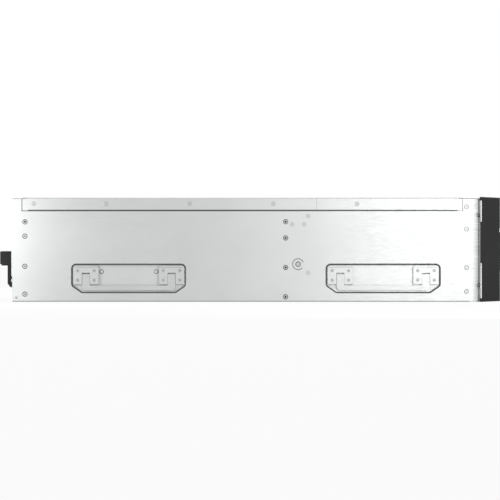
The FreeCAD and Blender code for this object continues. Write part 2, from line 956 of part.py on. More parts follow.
def power_module(side):
    """Power and cooling module: case, inlet, fan guard and spider, handle lugs."""
    case, plug, ys, zs = module_case(power_face, side, False)
    y, z = fan_centre(side)
    face = at(power_face)
    inlet_y = side * inlet_place
    inlet_outer = block(
        (face, face + inlet_depth),
        (inlet_y - inlet_width / 2 - face_wall, inlet_y + inlet_width / 2 + face_wall),
        (z - inlet_height / 2 - face_wall, z + inlet_height / 2 + face_wall),
    )
    inlet_hollow = block(
        (face, face + inlet_depth - face_wall),
        (inlet_y - inlet_width / 2, inlet_y + inlet_width / 2),
        (z - inlet_height / 2, z + inlet_height / 2),
    )
    vents = []
    for i in range(vent_count * 2):
        pitch = (ys[1] - ys[0] - 2 * vent_margin) / (vent_count * 2)
        start = ys[0] + vent_margin + i * pitch
        vents.append(
            block(
                (at(module_front - power_wall), at(module_front)),
                (start + pitch / 4, start + pitch * 3 / 4),
                (zs[0] + vent_margin, plug_top(zs)),
            )
        )
    shell = join([case.cut(guard_slots(y, z) + vents), inlet_outer, plug]).cut(inlet_hollow)
    spider_near = face + power_wall + fan_depth + joint_gap * 2
    spider = []
    for turn in (0, 60, 120):
        strut = block(
            (spider_near, spider_near + spider_depth),
            (y - fan_radius - duct_wall / 2, y + fan_radius + duct_wall / 2),
            (z - spider_depth / 2, z + spider_depth / 2),
        )
        strut.rotate(Vec(spider_near, y, z), Vec(1, 0, 0), turn)
        spider.append(strut)
    frame_half = fan_radius + duct_wall
    ring = block(
        (face + power_wall, spider_near + spider_depth),
        (y - frame_half, y + frame_half),
        (z - frame_half, z + frame_half),
    )
    bore = rod(
        (face + power_wall, y, z), (1, 0, 0), fan_radius, spider_near + spider_depth - face
    )
    boss = rod((spider_near, y, z), (1, 0, 0), hub_radius, spider_depth)
    shaft_hole = rod(
        (spider_near - spider_depth, y, z), (1, 0, 0), fan_shaft_radius + pin_gap, 3 * spider_depth
    )
    duct = join([ring.cut(bore)] + spider + [boss]).cut(shaft_hole)
    lugs = []
    for lug_y in lug_places(side):
        lug = [
            (at(power_face), handle_pivot_height - lug_half, 0),
            (at(power_face), handle_pivot_height + lug_half, 0),
            (handle_axis_x() - lug_half, handle_pivot_height + lug_half, lug_half * 0.98),
            (handle_axis_x() - lug_half, handle_pivot_height - lug_half, lug_half * 0.98),
        ]
        plate = side_prism(outline(lug), lug_y - lug_thickness / 2, lug_y + lug_thickness / 2)
        hole = rod(
            (handle_axis_x(), lug_y - lug_thickness, handle_pivot_height),
            (0, 1, 0),
            handle_pin_radius + pin_gap,
            2 * lug_thickness,
        )
        lugs.append(plate.cut(hole))
    return join([shell, duct] + lugs)


def guard_slots(y, z):
    """Upright slots of a fan guard, each as long as the fan's circle allows."""
    slots = []
    pitch = 2 * fan_radius / guard_slot_count
    for i in range(guard_slot_count):
        middle = (i + 0.5) * pitch - fan_radius
        half = math.sqrt(fan_radius**2 - middle**2)
        slots.append(
            block(
                (at(power_face), at(power_face + power_wall)),
                (y + middle - pitch / 2 + guard_bar / 2, y + middle + pitch / 2 - guard_bar / 2),
                (z - half, z + half),
            )
        )
    return slots


def plug_top(zs):
    return (zs[0] + zs[1]) / 2 - socket_height - vent_margin / 4


def handle_axis_x():
    return at(-(arm_far + knuckle_near) / 2)


def handle_middle(side):
    ys, _ = module_limits(side, False)
    outer = max(abs(ys[0]), abs(ys[1]))
    return side * (outer - handle_inset - handle_width / 2)


def lug_places(side):
    middle = handle_middle(side)
    inner = handle_width / 2 - handle_arm - joint_gap - lug_thickness / 2
    return (middle - inner, middle + inner)


def power_handle(side):
    """U-shaped pull handle: two arms on a hinge, with a hollow grip across the top."""
    middle = handle_middle(side)
    low = arm_low
    arm = [
        (at(-arm_far), low, knuckle_round),
        (at(-knuckle_near), low, 0),
        (at(-knuckle_near), knuckle_top, 0),
        (at(-notch_near), knuckle_top, 0),
        (at(-notch_near), notch_top, 0),
        (at(-arm_near), notch_top, 0),
        (at(-arm_near), grip_low, 0),
        (at(-grip_inset), grip_low, 0),
        (at(-grip_inset), grip_high, grip_round / 2),
        (at(-handle_reach), grip_high, grip_round),
        (at(-handle_reach), grip_low, grip_round),
        (at(-arm_far), grip_low, 0),
    ]
    pieces = []
    for start in (middle - handle_width / 2, middle + handle_width / 2 - handle_arm):
        pieces.append(side_prism(outline(arm), start, start + handle_arm))
    grip = [
        (at(-grip_inset), grip_high - grip_wall, 0),
        (at(-grip_inset), grip_high, grip_round / 2),
        (at(-handle_reach), grip_high, grip_round),
        (at(-handle_reach), grip_low, grip_round),
        (at(-handle_reach + grip_wall), grip_low, 0),
        (at(-handle_reach + grip_wall), grip_high - grip_wall, grip_round / 2),
    ]
    bar = side_prism(outline(grip), middle - handle_width / 2, middle + handle_width / 2)
    pin_length = handle_width - 2 * handle_arm
    pin = rod(
        (handle_axis_x(), middle - pin_length / 2, handle_pivot_height),
        (0, 1, 0),
        handle_pin_radius,
        pin_length,
    )
    return join(pieces + [bar, pin])


def fan_rotor(side):
    """Hub, shaft and pitched blades of a cooling fan."""
    y, z = fan_centre(side)
    rear = at(power_face) + power_wall + joint_gap
    depth = fan_depth - joint_gap
    hub = rod((rear, y, z), (1, 0, 0), hub_radius, depth)
    shaft = rod((rear + depth, y, z), (1, 0, 0), fan_shaft_radius, spider_depth)
    blades = []
    length = fan_radius - blade_tip_gap - hub_radius
    for i in range(blade_count):
        blade = block(
            (rear + blade_margin, rear + depth - blade_margin),
            (y - blade_thickness / 2, y + blade_thickness / 2),
            (z + hub_radius * 0.9, z + hub_radius + length),
        )
        blade.rotate(Vec(rear + depth / 2, y, z), Vec(0, 0, 1), blade_pitch)
        blade.rotate(Vec(rear, y, z), Vec(1, 0, 0), 360 / blade_count * i)
        blades.append(blade)
    return join([hub, shaft] + blades)


def io_module(side):
    """Interface module: case, a row of port cages and a lug for the lever."""
    case, plug, ys, zs = module_case(io_face, side, True)
    face = at(io_face)
    z = zs[1] - port_drop
    cages, hollows = [], []
    for i, width in enumerate(port_widths):
        y = ys[0] + port_margin + port_pitch * i + port_pitch / 2
        cages.append(
            block(
                (face, face + port_depth),
                (y - width / 2 - power_wall, y + width / 2 + power_wall),
                (z - port_height / 2 - power_wall, z + port_height / 2 + power_wall),
            )
        )
        hollows.append(
            block(
                (face, face + port_depth - power_wall),
                (y - width / 2, y + width / 2),
                (z - port_height / 2, z + port_height / 2),
            )
        )
    shell = join([case, plug] + cages)
    ears = []
    pivot_y = io_pivot_y(side)
    for low in (io_lever_low() - lug_thickness - joint_gap, io_lever_low() + io_lever_height + joint_gap):
        ear = plan_prism(
            rectangle(
                (at(io_pivot_distance()) - lug_half, face),
                (pivot_y - lug_half, pivot_y + lug_half),
            ),
            low,
            low + lug_thickness,
        )
        ears.append(ear)
    pin = rod(
        (at(io_pivot_distance()), pivot_y, io_lever_low() - joint_gap),
        (0, 0, 1),
        handle_pin_radius,
        io_lever_height + 2 * joint_gap,
    )
    return join([shell, pin] + ears).cut(hollows)


def io_pivot_distance():
    return io_face - lug_half - joint_gap


def io_lever_low():
    return shelf_height + io_lever_rise


def io_pivot_y(side):
    ys, _ = module_limits(side, True)
    outer = max(abs(ys[0]), abs(ys[1]))
    return side * (outer - 3 * lug_half)


def io_lever(side):
    """Pull lever of an interface module, across its lower edge."""
    ys, _ = module_limits(side, True)
    pivot = io_pivot_y(side)
    tip = pivot - side * io_lever_length
    x = at(io_pivot_distance())
    half = lug_half
    lever = [
        (x - half, pivot + side * half, half * 0.98),
        (x + half, pivot + side * half, half * 0.98),
        (x + half, tip + side * io_tip, 0),
        (x + half * 0.4, tip, half * 0.5),
        (x - half, tip, half * 0.5),
    ]
    if side < 0:
        lever.reverse()
    bar = plan_prism(outline(lever), io_lever_low(), io_lever_low() + io_lever_height)
    hole = rod(
        (x, pivot, io_lever_low() - joint_gap),
        (0, 0, 1),
        handle_pin_radius + pin_gap,
        io_lever_height + 2 * joint_gap,
    )
    return bar.cut(hole)


# ---- every node --------------------------------------------------------------------------
def build():
    os.makedirs("parts", exist_ok=True)
    left = side_panel()
    save("side_panel_left", left)
    save("side_panel_right", other_side(left))
    save("base_pan", base_pan())
    rear_cover, front_cover = covers()
    save("top_cover_rear", rear_cover)
    save("top_cover_front", front_cover)
    front_end = shell_length - cover_front_inset
    rails = [
        cross_rail(0, cover_rear_inset - sheet - 2 * butt_gap),
        cross_rail(front_end + sheet + 2 * butt_gap, shell_length),
    ]
    save("cross_rails", rails)

    screws = []
    for place in panel_screw_places():
        screws += pair(panel_screw(place))
    save("panel_screws", screws)

    pans = [pocket_pan(centre) for centre in pocket_centres]
    save("handle_pockets_left", pans)
    save("handle_pockets_right", [other_side(pan) for pan in pans])
    guides = []
    for centre in pocket_centres:
        for end in (-1, 1):
            guides += pair(guide(centre, end))
    save("handle_guides", guides)
    for name, centre in zip(("rear", "front"), pocket_centres):
        bail = lift_handle(centre)
        save(f"lift_handle_left_{name}", bail)
        save(f"lift_handle_right_{name}", other_side(bail))

    ear = rack_ear()
    save("rack_ear_left", ear)
    save("rack_ear_right", other_side(ear))
    rack_screws = []
    for height in rack_screw_heights():
        rack_screws += pair(rack_screw(height))
    save("rack_screws", rack_screws)
    cap = end_cap()
    save("end_cap_left", cap)
    save("end_cap_right", other_side(cap))

    save("drive_cage", drive_cage())
    save("midplane_board", midplane_board())
    save("midplane_connectors", midplane_connectors())
    for column in range(column_count):
        for row in range(row_count):
            save(f"drive_carrier_{column + 1}_{row + 1}", drive_carrier(column, row))

    save("rear_cage", rear_cage())
    for name, side in (("left", -1), ("right", 1)):
        save(f"power_module_{name}", power_module(side))
        save(f"power_handle_{name}", power_handle(side))
        save(f"fan_rotor_{name}", fan_rotor(side))
        save(f"io_module_{name}", io_module(side))
        save(f"io_lever_{name}", io_lever(side))


build()
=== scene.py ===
"""Looks of the disk shelf enclosure: finishes for its metal and plastic, and its small fittings."""

import json
import math

import bmesh
import bpy
from mathutils import Matrix, Vector


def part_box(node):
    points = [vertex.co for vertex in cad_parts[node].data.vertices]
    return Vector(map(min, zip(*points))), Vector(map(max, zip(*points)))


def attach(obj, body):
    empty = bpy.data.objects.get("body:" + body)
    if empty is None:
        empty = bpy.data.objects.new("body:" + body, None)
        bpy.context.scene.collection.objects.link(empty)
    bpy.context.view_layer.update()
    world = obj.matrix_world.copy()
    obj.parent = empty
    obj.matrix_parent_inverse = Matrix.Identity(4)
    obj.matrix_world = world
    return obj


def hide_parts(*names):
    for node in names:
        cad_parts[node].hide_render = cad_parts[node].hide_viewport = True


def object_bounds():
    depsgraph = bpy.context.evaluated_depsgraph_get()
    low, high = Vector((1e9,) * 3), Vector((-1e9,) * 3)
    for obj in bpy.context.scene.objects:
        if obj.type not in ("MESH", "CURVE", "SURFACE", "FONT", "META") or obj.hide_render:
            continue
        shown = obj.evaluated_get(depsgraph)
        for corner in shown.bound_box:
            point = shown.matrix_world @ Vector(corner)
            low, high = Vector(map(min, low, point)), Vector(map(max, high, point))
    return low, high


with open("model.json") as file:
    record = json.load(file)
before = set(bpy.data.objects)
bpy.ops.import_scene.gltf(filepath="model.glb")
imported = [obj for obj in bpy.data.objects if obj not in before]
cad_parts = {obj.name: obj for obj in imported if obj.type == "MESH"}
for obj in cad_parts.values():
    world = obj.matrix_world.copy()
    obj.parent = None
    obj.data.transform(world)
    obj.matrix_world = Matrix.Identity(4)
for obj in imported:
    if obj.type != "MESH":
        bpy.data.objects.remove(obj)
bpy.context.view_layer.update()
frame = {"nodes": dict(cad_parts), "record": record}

MM = 0.001
WELD = 1e-6  # points nearer than this are joined
panel_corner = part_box("side_panel_left")[0]
REAR, SKIN = panel_corner.x, abs(panel_corner.y)
CHASSIS = next(body for body, nodes in frame["record"]["behaviour"]["bodies"].items()
               if "side_panel_left" in nodes)

# Places on the side panels, in millimetres forward from their rear edge.
POCKETS = (194.7, 621.0)  # middles of the lift-handle pockets
GROOVE = (26, 745)  # ends of the groove under the flanges of the covers
GROOVE_STEPS = (15.2, 754.8)  # ends of the steps beyond the groove
# The dark of these seams is painted shade in their narrow gaps.
SEAM = 1.2  # width of the dark seams there
KEY_POINT = (478.4, 63.0)  # forward and up, to the key point of the midplane latch


def at(distance):
    """X of a distance in millimetres, measured forward from the rear edge of the panels."""
    return REAR + distance * MM


# ---- camera, light and floor -------------------------------------------------------------
CAMERA_DISTANCE, CAMERA_HEIGHT = 6.503, 0.0868
CAMERA_LENS, CAMERA_SENSOR = 270, 36
LAMPS = (  # name, place, target, (width, height) and power
    ("lamp_front_rear", (-0.6, -0.75, 0.11), (-0.46, -0.22, 0.09), (0.25, 0.36), 1.42),
    ("lamp_front_end", (0.52, -1.7, 0.16), (0.3, -0.22, 0.09), (0.41, 0.6), 4.6),
    ("lamp_top", (0.1, 0, 1.9), (0, 0, 0), (2.0, 2.0), 12),
    ("lamp_back", (0, 1.9, 0.9), (0, 0, 0.1), (2.0, 1.2), 7),
    ("lamp_rear_end", (-2.0, 0.2, 0.95), (-0.4, 0, 0.1), (1.5, 1.5), 4.2),
    ("lamp_caps", (2.0, 0.1, 0.95), (0.4, 0, 0.1), (1.7, 1.5), 8),
)
FILL_TONE, FILL_STRENGTH = 0.8, 0.75
FLOOR_SIZE, FLOOR_GAP = 12, 0.0002
FLOOR_TONE, FLOOR_ROUGHNESS, FLOOR_GLOW = 0.9, 0.7, 0.9


def place_camera():
    """A long lens, square to the left side."""
    data = bpy.data.cameras.new("camera")
    data.lens = CAMERA_LENS
    data.sensor_width = CAMERA_SENSOR
    camera = bpy.data.objects.new("camera", data)
    camera.location = (0, -CAMERA_DISTANCE, CAMERA_HEIGHT)
    camera.rotation_euler = (math.pi / 2, 0, 0)
    bpy.context.scene.collection.objects.link(camera)
    bpy.context.scene.camera = camera


def soft_box(name, place, target, size, power):
    data = bpy.data.lights.new(name, "AREA")
    data.shape = "RECTANGLE"
    data.size, data.size_y = size
    data.energy = power
    lamp = bpy.data.objects.new(name, data)
    lamp.location = place
    lamp.rotation_euler = (Vector(target) - Vector(place)).to_track_quat("-Z", "Y").to_euler()
    bpy.context.scene.collection.objects.link(lamp)


def seen_rays(tree):
    """1 for rays from the camera, a glossy surface or a clear one, otherwise 0."""
    path = tree.nodes.new("ShaderNodeLightPath")
    seen = any_of(tree, path.outputs["Is Camera Ray"], path.outputs["Is Glossy Ray"])
    return any_of(tree, seen, path.outputs["Is Transmission Ray"])


def blend_shaders(tree, share, first, second, output):
    """Feeds an output with a first shader, and with a second one by its share."""
    mix = tree.nodes.new("ShaderNodeMixShader")
    for socket, value in zip(mix.inputs, (share, first, second)):
        tree.links.new(value, socket)
    tree.links.new(mix.outputs[0], output.inputs["Surface"])


def light_world():
    """Even grey light from all round, from a world that looks white itself."""
    world = bpy.data.worlds.new("studio")
    world.use_nodes = True
    tree = world.node_tree
    fill = tree.nodes["Background"]
    fill.inputs["Color"].default_value = (FILL_TONE, FILL_TONE, FILL_TONE, 1)
    fill.inputs["Strength"].default_value = FILL_STRENGTH
    white = tree.nodes.new("ShaderNodeBackground")
    white.inputs["Color"].default_value = (1, 1, 1, 1)
    blend_shaders(tree, seen_rays(tree), fill.outputs[0], white.outputs[0],
                  tree.nodes["World Output"])
    bpy.context.scene.world = world


def lay_floor():
    """Floor that fades into the white of the world and takes a faint shadow."""
    mesh = bpy.data.meshes.new("floor")
    bm = bmesh.new()
    bmesh.ops.create_grid(bm, x_segments=1, y_segments=1, size=FLOOR_SIZE)
    bmesh.ops.translate(bm, vec=(0, 0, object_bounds()[0][2] - FLOOR_GAP), verts=bm.verts)
    bm.to_mesh(mesh)
    bm.free()
    floor = bpy.data.objects.new("floor", mesh)
    bpy.context.scene.collection.objects.link(floor)
    finish = bpy.data.materials.new("floor_white")
    finish.use_nodes = True
    tree = finish.node_tree
    paint = tree.nodes["Principled BSDF"]
    paint.inputs["Base Color"].default_value = (FLOOR_TONE, FLOOR_TONE, FLOOR_TONE, 1)
    paint.inputs["Roughness"].default_value = FLOOR_ROUGHNESS
    paint.inputs["Specular IOR Level"].default_value = 0
    glow = tree.nodes.new("ShaderNodeEmission")
    share = work_out(tree, "MULTIPLY", seen_rays(tree), FLOOR_GLOW)
    blend_shaders(tree, share, paint.outputs[0], glow.outputs[0], tree.nodes["Material Output"])
    mesh.materials.append(finish)


# ---- patterns and masks ------------------------------------------------------------------
NOISE_ENDS = (0.35, 0.65)  # where a pattern begins and ends to follow the noise
EVEN = (1, 1, 1)  # stretch of a grain without a direction


def start_finish(name, metallic=0.0):
    """A material with its node tree and shader, and its object coordinates."""
    finish = bpy.data.materials.new(name)
    finish.use_nodes = True
    tree = finish.node_tree
    shader = tree.nodes["Principled BSDF"]
    shader.inputs["Metallic"].default_value = metallic
    place = tree.nodes.new("ShaderNodeTexCoord").outputs["Object"]
    return finish, tree, shader, place


def grain(tree, place, scale, detail, stretch=EVEN):
    """Noise over the surface, from 0 to 1, stretched along an axis by a small number."""
    spread = tree.nodes.new("ShaderNodeMapping")
    spread.inputs["Scale"].default_value = stretch
    tree.links.new(place, spread.inputs["Vector"])
    noise = tree.nodes.new("ShaderNodeTexNoise")
    noise.inputs["Scale"].default_value = scale
    noise.inputs["Detail"].default_value = detail
    tree.links.new(spread.outputs[0], noise.inputs["Vector"])
    return noise.outputs["Fac"]


def between(tree, value, low, high, ends=NOISE_ENDS):
    """A number that goes from low to high as value crosses its ends."""
    spread = tree.nodes.new("ShaderNodeMapRange")
    spread.inputs["From Min"].default_value, spread.inputs["From Max"].default_value = ends
    spread.inputs["To Min"].default_value, spread.inputs["To Max"].default_value = low, high
    tree.links.new(value, spread.inputs["Value"])
    return spread.outputs[0]


def two_tone(tree, value, dark, light, into):
    """Colours an input from dark to light as a noise rises."""
    ramp = tree.nodes.new("ShaderNodeValToRGB")
    for stop, position, colour in zip(ramp.color_ramp.elements, NOISE_ENDS, (dark, light)):
        stop.position = position
        stop.color = (*colour, 1)
    tree.links.new(value, ramp.inputs["Fac"])
    tree.links.new(ramp.outputs["Color"], into)


def raise_grain(tree, value, shader, strength, distance):
    """Bump from a pattern."""
    bump = tree.nodes.new("ShaderNodeBump")
    bump.inputs["Strength"].default_value = strength
    bump.inputs["Distance"].default_value = distance
    tree.links.new(value, bump.inputs["Height"])
    tree.links.new(bump.outputs["Normal"], shader.inputs["Normal"])


def work_out(tree, operation, *values):
    """Result of a math node that is fed with sockets and numbers."""
    step = tree.nodes.new("ShaderNodeMath")
    step.operation = operation
    for socket, value in zip(step.inputs, values):
        if isinstance(value, bpy.types.NodeSocket):
            tree.links.new(value, socket)
        else:
            socket.default_value = value
    return step.outputs[0]


def above(tree, value, limit):
    return work_out(tree, "GREATER_THAN", value, limit)


def below(tree, value, limit):
    return work_out(tree, "LESS_THAN", value, limit)


def all_of(tree, first, second):
    """Product of two masks."""
    return work_out(tree, "MULTIPLY", first, second)


def any_of(tree, first, second):
    """Larger of two masks."""
    return work_out(tree, "MAXIMUM", first, second)


def strip(tree, value, start, end):
    """1 between two limits."""
    return all_of(tree, above(tree, value, start), below(tree, value, end))


def along(tree, x, start, end):
    """1 between two distances, in millimetres, from the rear edge of the panels."""
    return strip(tree, x, at(start), at(end))


def about_pockets(tree, x, start, end):
    """1 at a distance between two limits, in millimetres, from the middle of either pocket."""
    away = [work_out(tree, "ABSOLUTE", work_out(tree, "SUBTRACT", x, at(centre)))
            for centre in POCKETS]
    return any_of(tree, *[strip(tree, distance, start * MM, end * MM) for distance in away])


def object_axes(tree):
    """X, Y and Z of the surface."""
    place = tree.nodes.new("ShaderNodeTexCoord").outputs["Object"]
    axes = tree.nodes.new("ShaderNodeSeparateXYZ")
    tree.links.new(place, axes.inputs[0])
    return axes.outputs


def tint(tree, mask, colour):
    """Lays a second colour over the first where the mask is 1."""
    base = tree.nodes["Principled BSDF"].inputs["Base Color"]
    mix = tree.nodes.new("ShaderNodeMix")
    mix.data_type = "RGBA"
    factor, first, second = mix.inputs[0], mix.inputs[6], mix.inputs[7]
    tree.links.new(mask, factor)
    tree.links.new(base.links[0].from_socket, first)
    second.default_value = (*colour, 1)
    tree.links.new(mix.outputs[2], base)


# ---- finishes ----------------------------------------------------------------------------
STEEL_TONES = (0.493, 0.507, 0.499), (0.512, 0.526, 0.517)
# Painted shade: the dark in the groove under the flanges of the covers, and in the narrow gaps of
# the seams and along the top edge at the ends of the covers.
GROOVE_SHADE = (0.085, 0.09, 0.087)
SEAM_SHADE = (0.14, 0.145, 0.14)


def rolled_steel(name, dark, light, roughness=(0.34, 0.42), stretch=(0.08, 1, 1)):
    """Bare zinc-coated sheet: fine rolling lines along it, and a faint cloudy bloom."""
    finish, tree, shader, place = start_finish(name, 1.0)
    bloom = grain(tree, place, scale=14, detail=5)
    lines = grain(tree, place, scale=900, detail=3, stretch=stretch)
    two_tone(tree, bloom, dark, light, shader.inputs["Base Color"])
    tree.links.new(between(tree, lines, *roughness), shader.inputs["Roughness"])
    raise_grain(tree, lines, shader, strength=0.1, distance=0.02 * MM)
    return finish


def plain_steel(name, dark, light, roughness):
    """Steel of small parts, with a grain that has no direction."""
    return rolled_steel(name, dark, light, roughness, EVEN)


def moulded_plastic(name, dark, light, roughness=(0.42, 0.6), grain_size=1800):
    """Spark-eroded moulding: a fine even stipple with slightly uneven gloss."""
    finish, tree, shader, place = start_finish(name)
    stipple = grain(tree, place, scale=grain_size, detail=2)
    patches = grain(tree, place, scale=22, detail=3)
    two_tone(tree, patches, dark, light, shader.inputs["Base Color"])
    tree.links.new(between(tree, stipple, *roughness), shader.inputs["Roughness"])
    shader.inputs["Specular IOR Level"].default_value = 0.35
    raise_grain(tree, stipple, shader, strength=0.35, distance=0.06 * MM)
    return finish


def panel_finish():
    """Sheet steel with painted shade in its pocket rims, cover groove and seams, along the ends of
    its top edge and towards the ear, and a darker band along its bottom edge.
    """
    finish = rolled_steel("panel_steel", *STEEL_TONES)
    tree = finish.node_tree
    x, y, z = object_axes(tree)
    rear, front = GROOVE
    rear_step, front_step = GROOVE_STEPS
    sunk = strip(tree, work_out(tree, "ABSOLUTE", y), SKIN - 1.45 * MM, SKIN - 0.15 * MM)
    rims = below(tree, z, 100 * MM)
    groove = all_of(tree, along(tree, x, rear, front), above(tree, z, 151.8 * MM))
    seams = all_of(tree, above(tree, z, 152 * MM),
                   any_of(tree, along(tree, x, rear_step, rear_step + SEAM),
                          along(tree, x, front_step - SEAM, front_step)))
    feet = all_of(tree, strip(tree, z, 151.7 * MM, 153 * MM),
                  any_of(tree, along(tree, x, rear_step, rear),
                         along(tree, x, front, front_step)))
    base_edge = below(tree, z, 2.1 * MM)
    crown = above(tree, z, 172.4 * MM)
    front_crown = all_of(tree, crown, above(tree, x, at(747)))
    rear_crown = all_of(tree, crown, below(tree, x, at(17)))
    # Painted shade: darkening towards the ear and cap that shade the panel there, and a dark line
    # in the gap at the front edge.
    ear_shade = between(tree, x, 0.0, 1.0, (at(769), at(780)))
    front_edge = along(tree, x, 779.7, 781.2)
    # Painted shade in the sunk pocket rims, the groove, the seam gaps and the ends of the top edge;
    # a darker band along the bottom edge.
    for mask, tone in ((all_of(tree, sunk, rims), (0.095, 0.1, 0.097)),
                       (all_of(tree, sunk, groove), GROOVE_SHADE),
                       (any_of(tree, seams, feet), SEAM_SHADE),
                       (base_edge, (0.36, 0.37, 0.365)),
                       (front_crown, (0.10, 0.105, 0.10)),
                       (rear_crown, (0.2, 0.205, 0.2)),
                       (ear_shade, (0.25, 0.255, 0.25)),
                       (front_edge, (0.09, 0.095, 0.09))):
        tint(tree, mask, tone)
    return finish


def cover_finish():
    """Cover steel, with the shade of the groove painted on the lower edge of its flanges, and
    painted shade in the gap along the top at both ends.
    """
    finish = rolled_steel("cover_steel", *STEEL_TONES)
    tree = finish.node_tree
    x, _, z = object_axes(tree)
    lower_edge = all_of(tree, below(tree, z, 154.3 * MM), along(tree, x, *GROOVE))
    ends = any_of(tree, above(tree, x, at(747)), below(tree, x, at(24)))
    tint(tree, lower_edge, GROOVE_SHADE)
    # Painted shade: a dark line in the gap along the top at both ends.
    tint(tree, all_of(tree, ends, strip(tree, z, 172.6 * MM, 173.6 * MM)), SEAM_SHADE)
    return finish


def guide_finish():
    """Strap-steel guides, with painted shade along the edges of their plates."""
    finish = rolled_steel("guide_steel", *STEEL_TONES)
    tree = finish.node_tree
    x, _, z = object_axes(tree)
    upper, lower = strip(tree, z, 57.6 * MM, 58.5 * MM), strip(tree, z, 28.9 * MM, 29.7 * MM)
    across = all_of(tree, any_of(tree, upper, lower), about_pockets(tree, x, 50, 91))
    upright = all_of(tree, strip(tree, z, 29 * MM, 58.5 * MM), about_pockets(tree, x, 48.5, 50.6))
    # Painted shade: the shadow of the pocket's upper edge across the top of the plates, and dark
    # lines round the plates' outlines.
    tint(tree, any_of(tree, across, upright), (0.27, 0.28, 0.275))
    return finish


def strap_finish():
    """Bail steel, with painted shade along both edges of the arms."""
    finish = rolled_steel("bail_steel", (0.47, 0.485, 0.477), (0.5, 0.515, 0.507), (0.32, 0.42))
    tree = finish.node_tree
    x, _, z = object_axes(tree)
    edges = any_of(tree, about_pockets(tree, x, 63.8, 65.2), about_pockets(tree, x, 77.9, 79.3))
    # Painted shade: dark lines along both edges of the bail's arms.
    tint(tree, all_of(tree, edges, above(tree, z, 29.5 * MM)), (0.07, 0.075, 0.07))
    return finish


def carrier_finish():
    """Drives and trays of plain metal behind a dark moulded face."""
    finish = rolled_steel("carrier_metal", (0.42, 0.425, 0.43), (0.5, 0.505, 0.51), (0.36, 0.5))
    tree = finish.node_tree
    face = above(tree, object_axes(tree)["X"], at(784))
    tint(tree, face, (0.035, 0.035, 0.037))
    metallic = tree.nodes["Principled BSDF"].inputs["Metallic"]
    tree.links.new(between(tree, face, 1.0, 0.0, (0, 1)), metallic)
    return finish


STEEL = rolled_steel("sheet_steel", *STEEL_TONES)
PANEL = panel_finish()
# Painted light: the panel steel made a little lighter, to lift the shade inside the handle pockets.
POCKET = rolled_steel("pocket_steel_lit", (0.515, 0.53, 0.522), (0.535, 0.55, 0.541))
COVER = cover_finish()
GUIDE = guide_finish()
LINER = rolled_steel("liner_steel", (0.50, 0.51, 0.50), (0.60, 0.605, 0.60), (0.36, 0.5))
MODULE = rolled_steel("module_steel", (0.50, 0.51, 0.50), (0.57, 0.575, 0.57), (0.34, 0.46),
                      (1, 0.03, 1))
STRAP = strap_finish()
FASTENER = plain_steel("fastener_steel", (0.50, 0.50, 0.49), (0.64, 0.64, 0.63), (0.28, 0.4))
FLUSH = plain_steel("flush_steel", (0.402, 0.414, 0.408), (0.417, 0.429, 0.423), (0.36, 0.44))
DULL = plain_steel("dull_steel", (0.385, 0.395, 0.39), (0.43, 0.44, 0.435), (0.4, 0.5))
BLACK = moulded_plastic("black_plastic", (0.009, 0.009, 0.0093), (0.012, 0.012, 0.0123),
                        (0.55, 0.7))
ROTOR = moulded_plastic("rotor_black", (0.018, 0.018, 0.019), (0.028, 0.028, 0.029))
CONNECTOR = moulded_plastic("connector_black", (0.02, 0.02, 0.021), (0.035, 0.035, 0.036),
                            (0.5, 0.65))
BOARD = moulded_plastic("board_green", (0.012, 0.07, 0.028), (0.02, 0.10, 0.04), (0.25, 0.4), 400)
CARRIER = carrier_finish()
SEAT_RING = plain_steel("seat_ring_steel", (0.26, 0.27, 0.265), (0.32, 0.33, 0.325), (0.4, 0.5))
SEAT = plain_steel("seat_steel", (0.07, 0.07, 0.07), (0.11, 0.11, 0.11), (0.45, 0.55))
EAR = rolled_steel("ear_steel", (0.41, 0.415, 0.412), (0.44, 0.445, 0.442))
MARK = plain_steel("mark_steel", (0.165, 0.17, 0.165), (0.21, 0.215, 0.21), (0.4, 0.5))
RIM = plain_steel("rim_steel", (0.22, 0.23, 0.225), (0.27, 0.28, 0.275), (0.4, 0.5))
OXIDE = plain_steel("oxide_steel", (0.12, 0.12, 0.122), (0.15, 0.15, 0.152), (0.35, 0.5))
LEVER = moulded_plastic("lever_grey", (0.05, 0.05, 0.052), (0.065, 0.065, 0.067), (0.4, 0.55))
LATCH = moulded_plastic("latch_grey", (0.22, 0.22, 0.225), (0.27, 0.27, 0.275), (0.4, 0.55))
LENS = moulded_plastic("clear_lens", (0.55, 0.56, 0.55), (0.62, 0.63, 0.62), (0.12, 0.2), 300)
CAP_FRONT = moulded_plastic("cap_front_grey", (0.05, 0.05, 0.051), (0.065, 0.065, 0.066),
                            (0.4, 0.5))
EDGE = moulded_plastic("edge_grey", (0.18, 0.18, 0.182), (0.22, 0.22, 0.222), (0.35, 0.45))
# Painted shade: near black inside the socket recesses of the screws.
RECESS_SHADE = plain_steel("recess_shade", (0.008, 0.008, 0.008), (0.014, 0.014, 0.014), (0.5, 0.6))
LID = rolled_steel("lid_steel", (0.52, 0.52, 0.525), (0.6, 0.6, 0.605), (0.3, 0.4), (1, 0.1, 1))
HOLLOW = moulded_plastic("vent_shadow", (0.006, 0.006, 0.006), (0.01, 0.01, 0.01), (0.8, 0.9), 200)


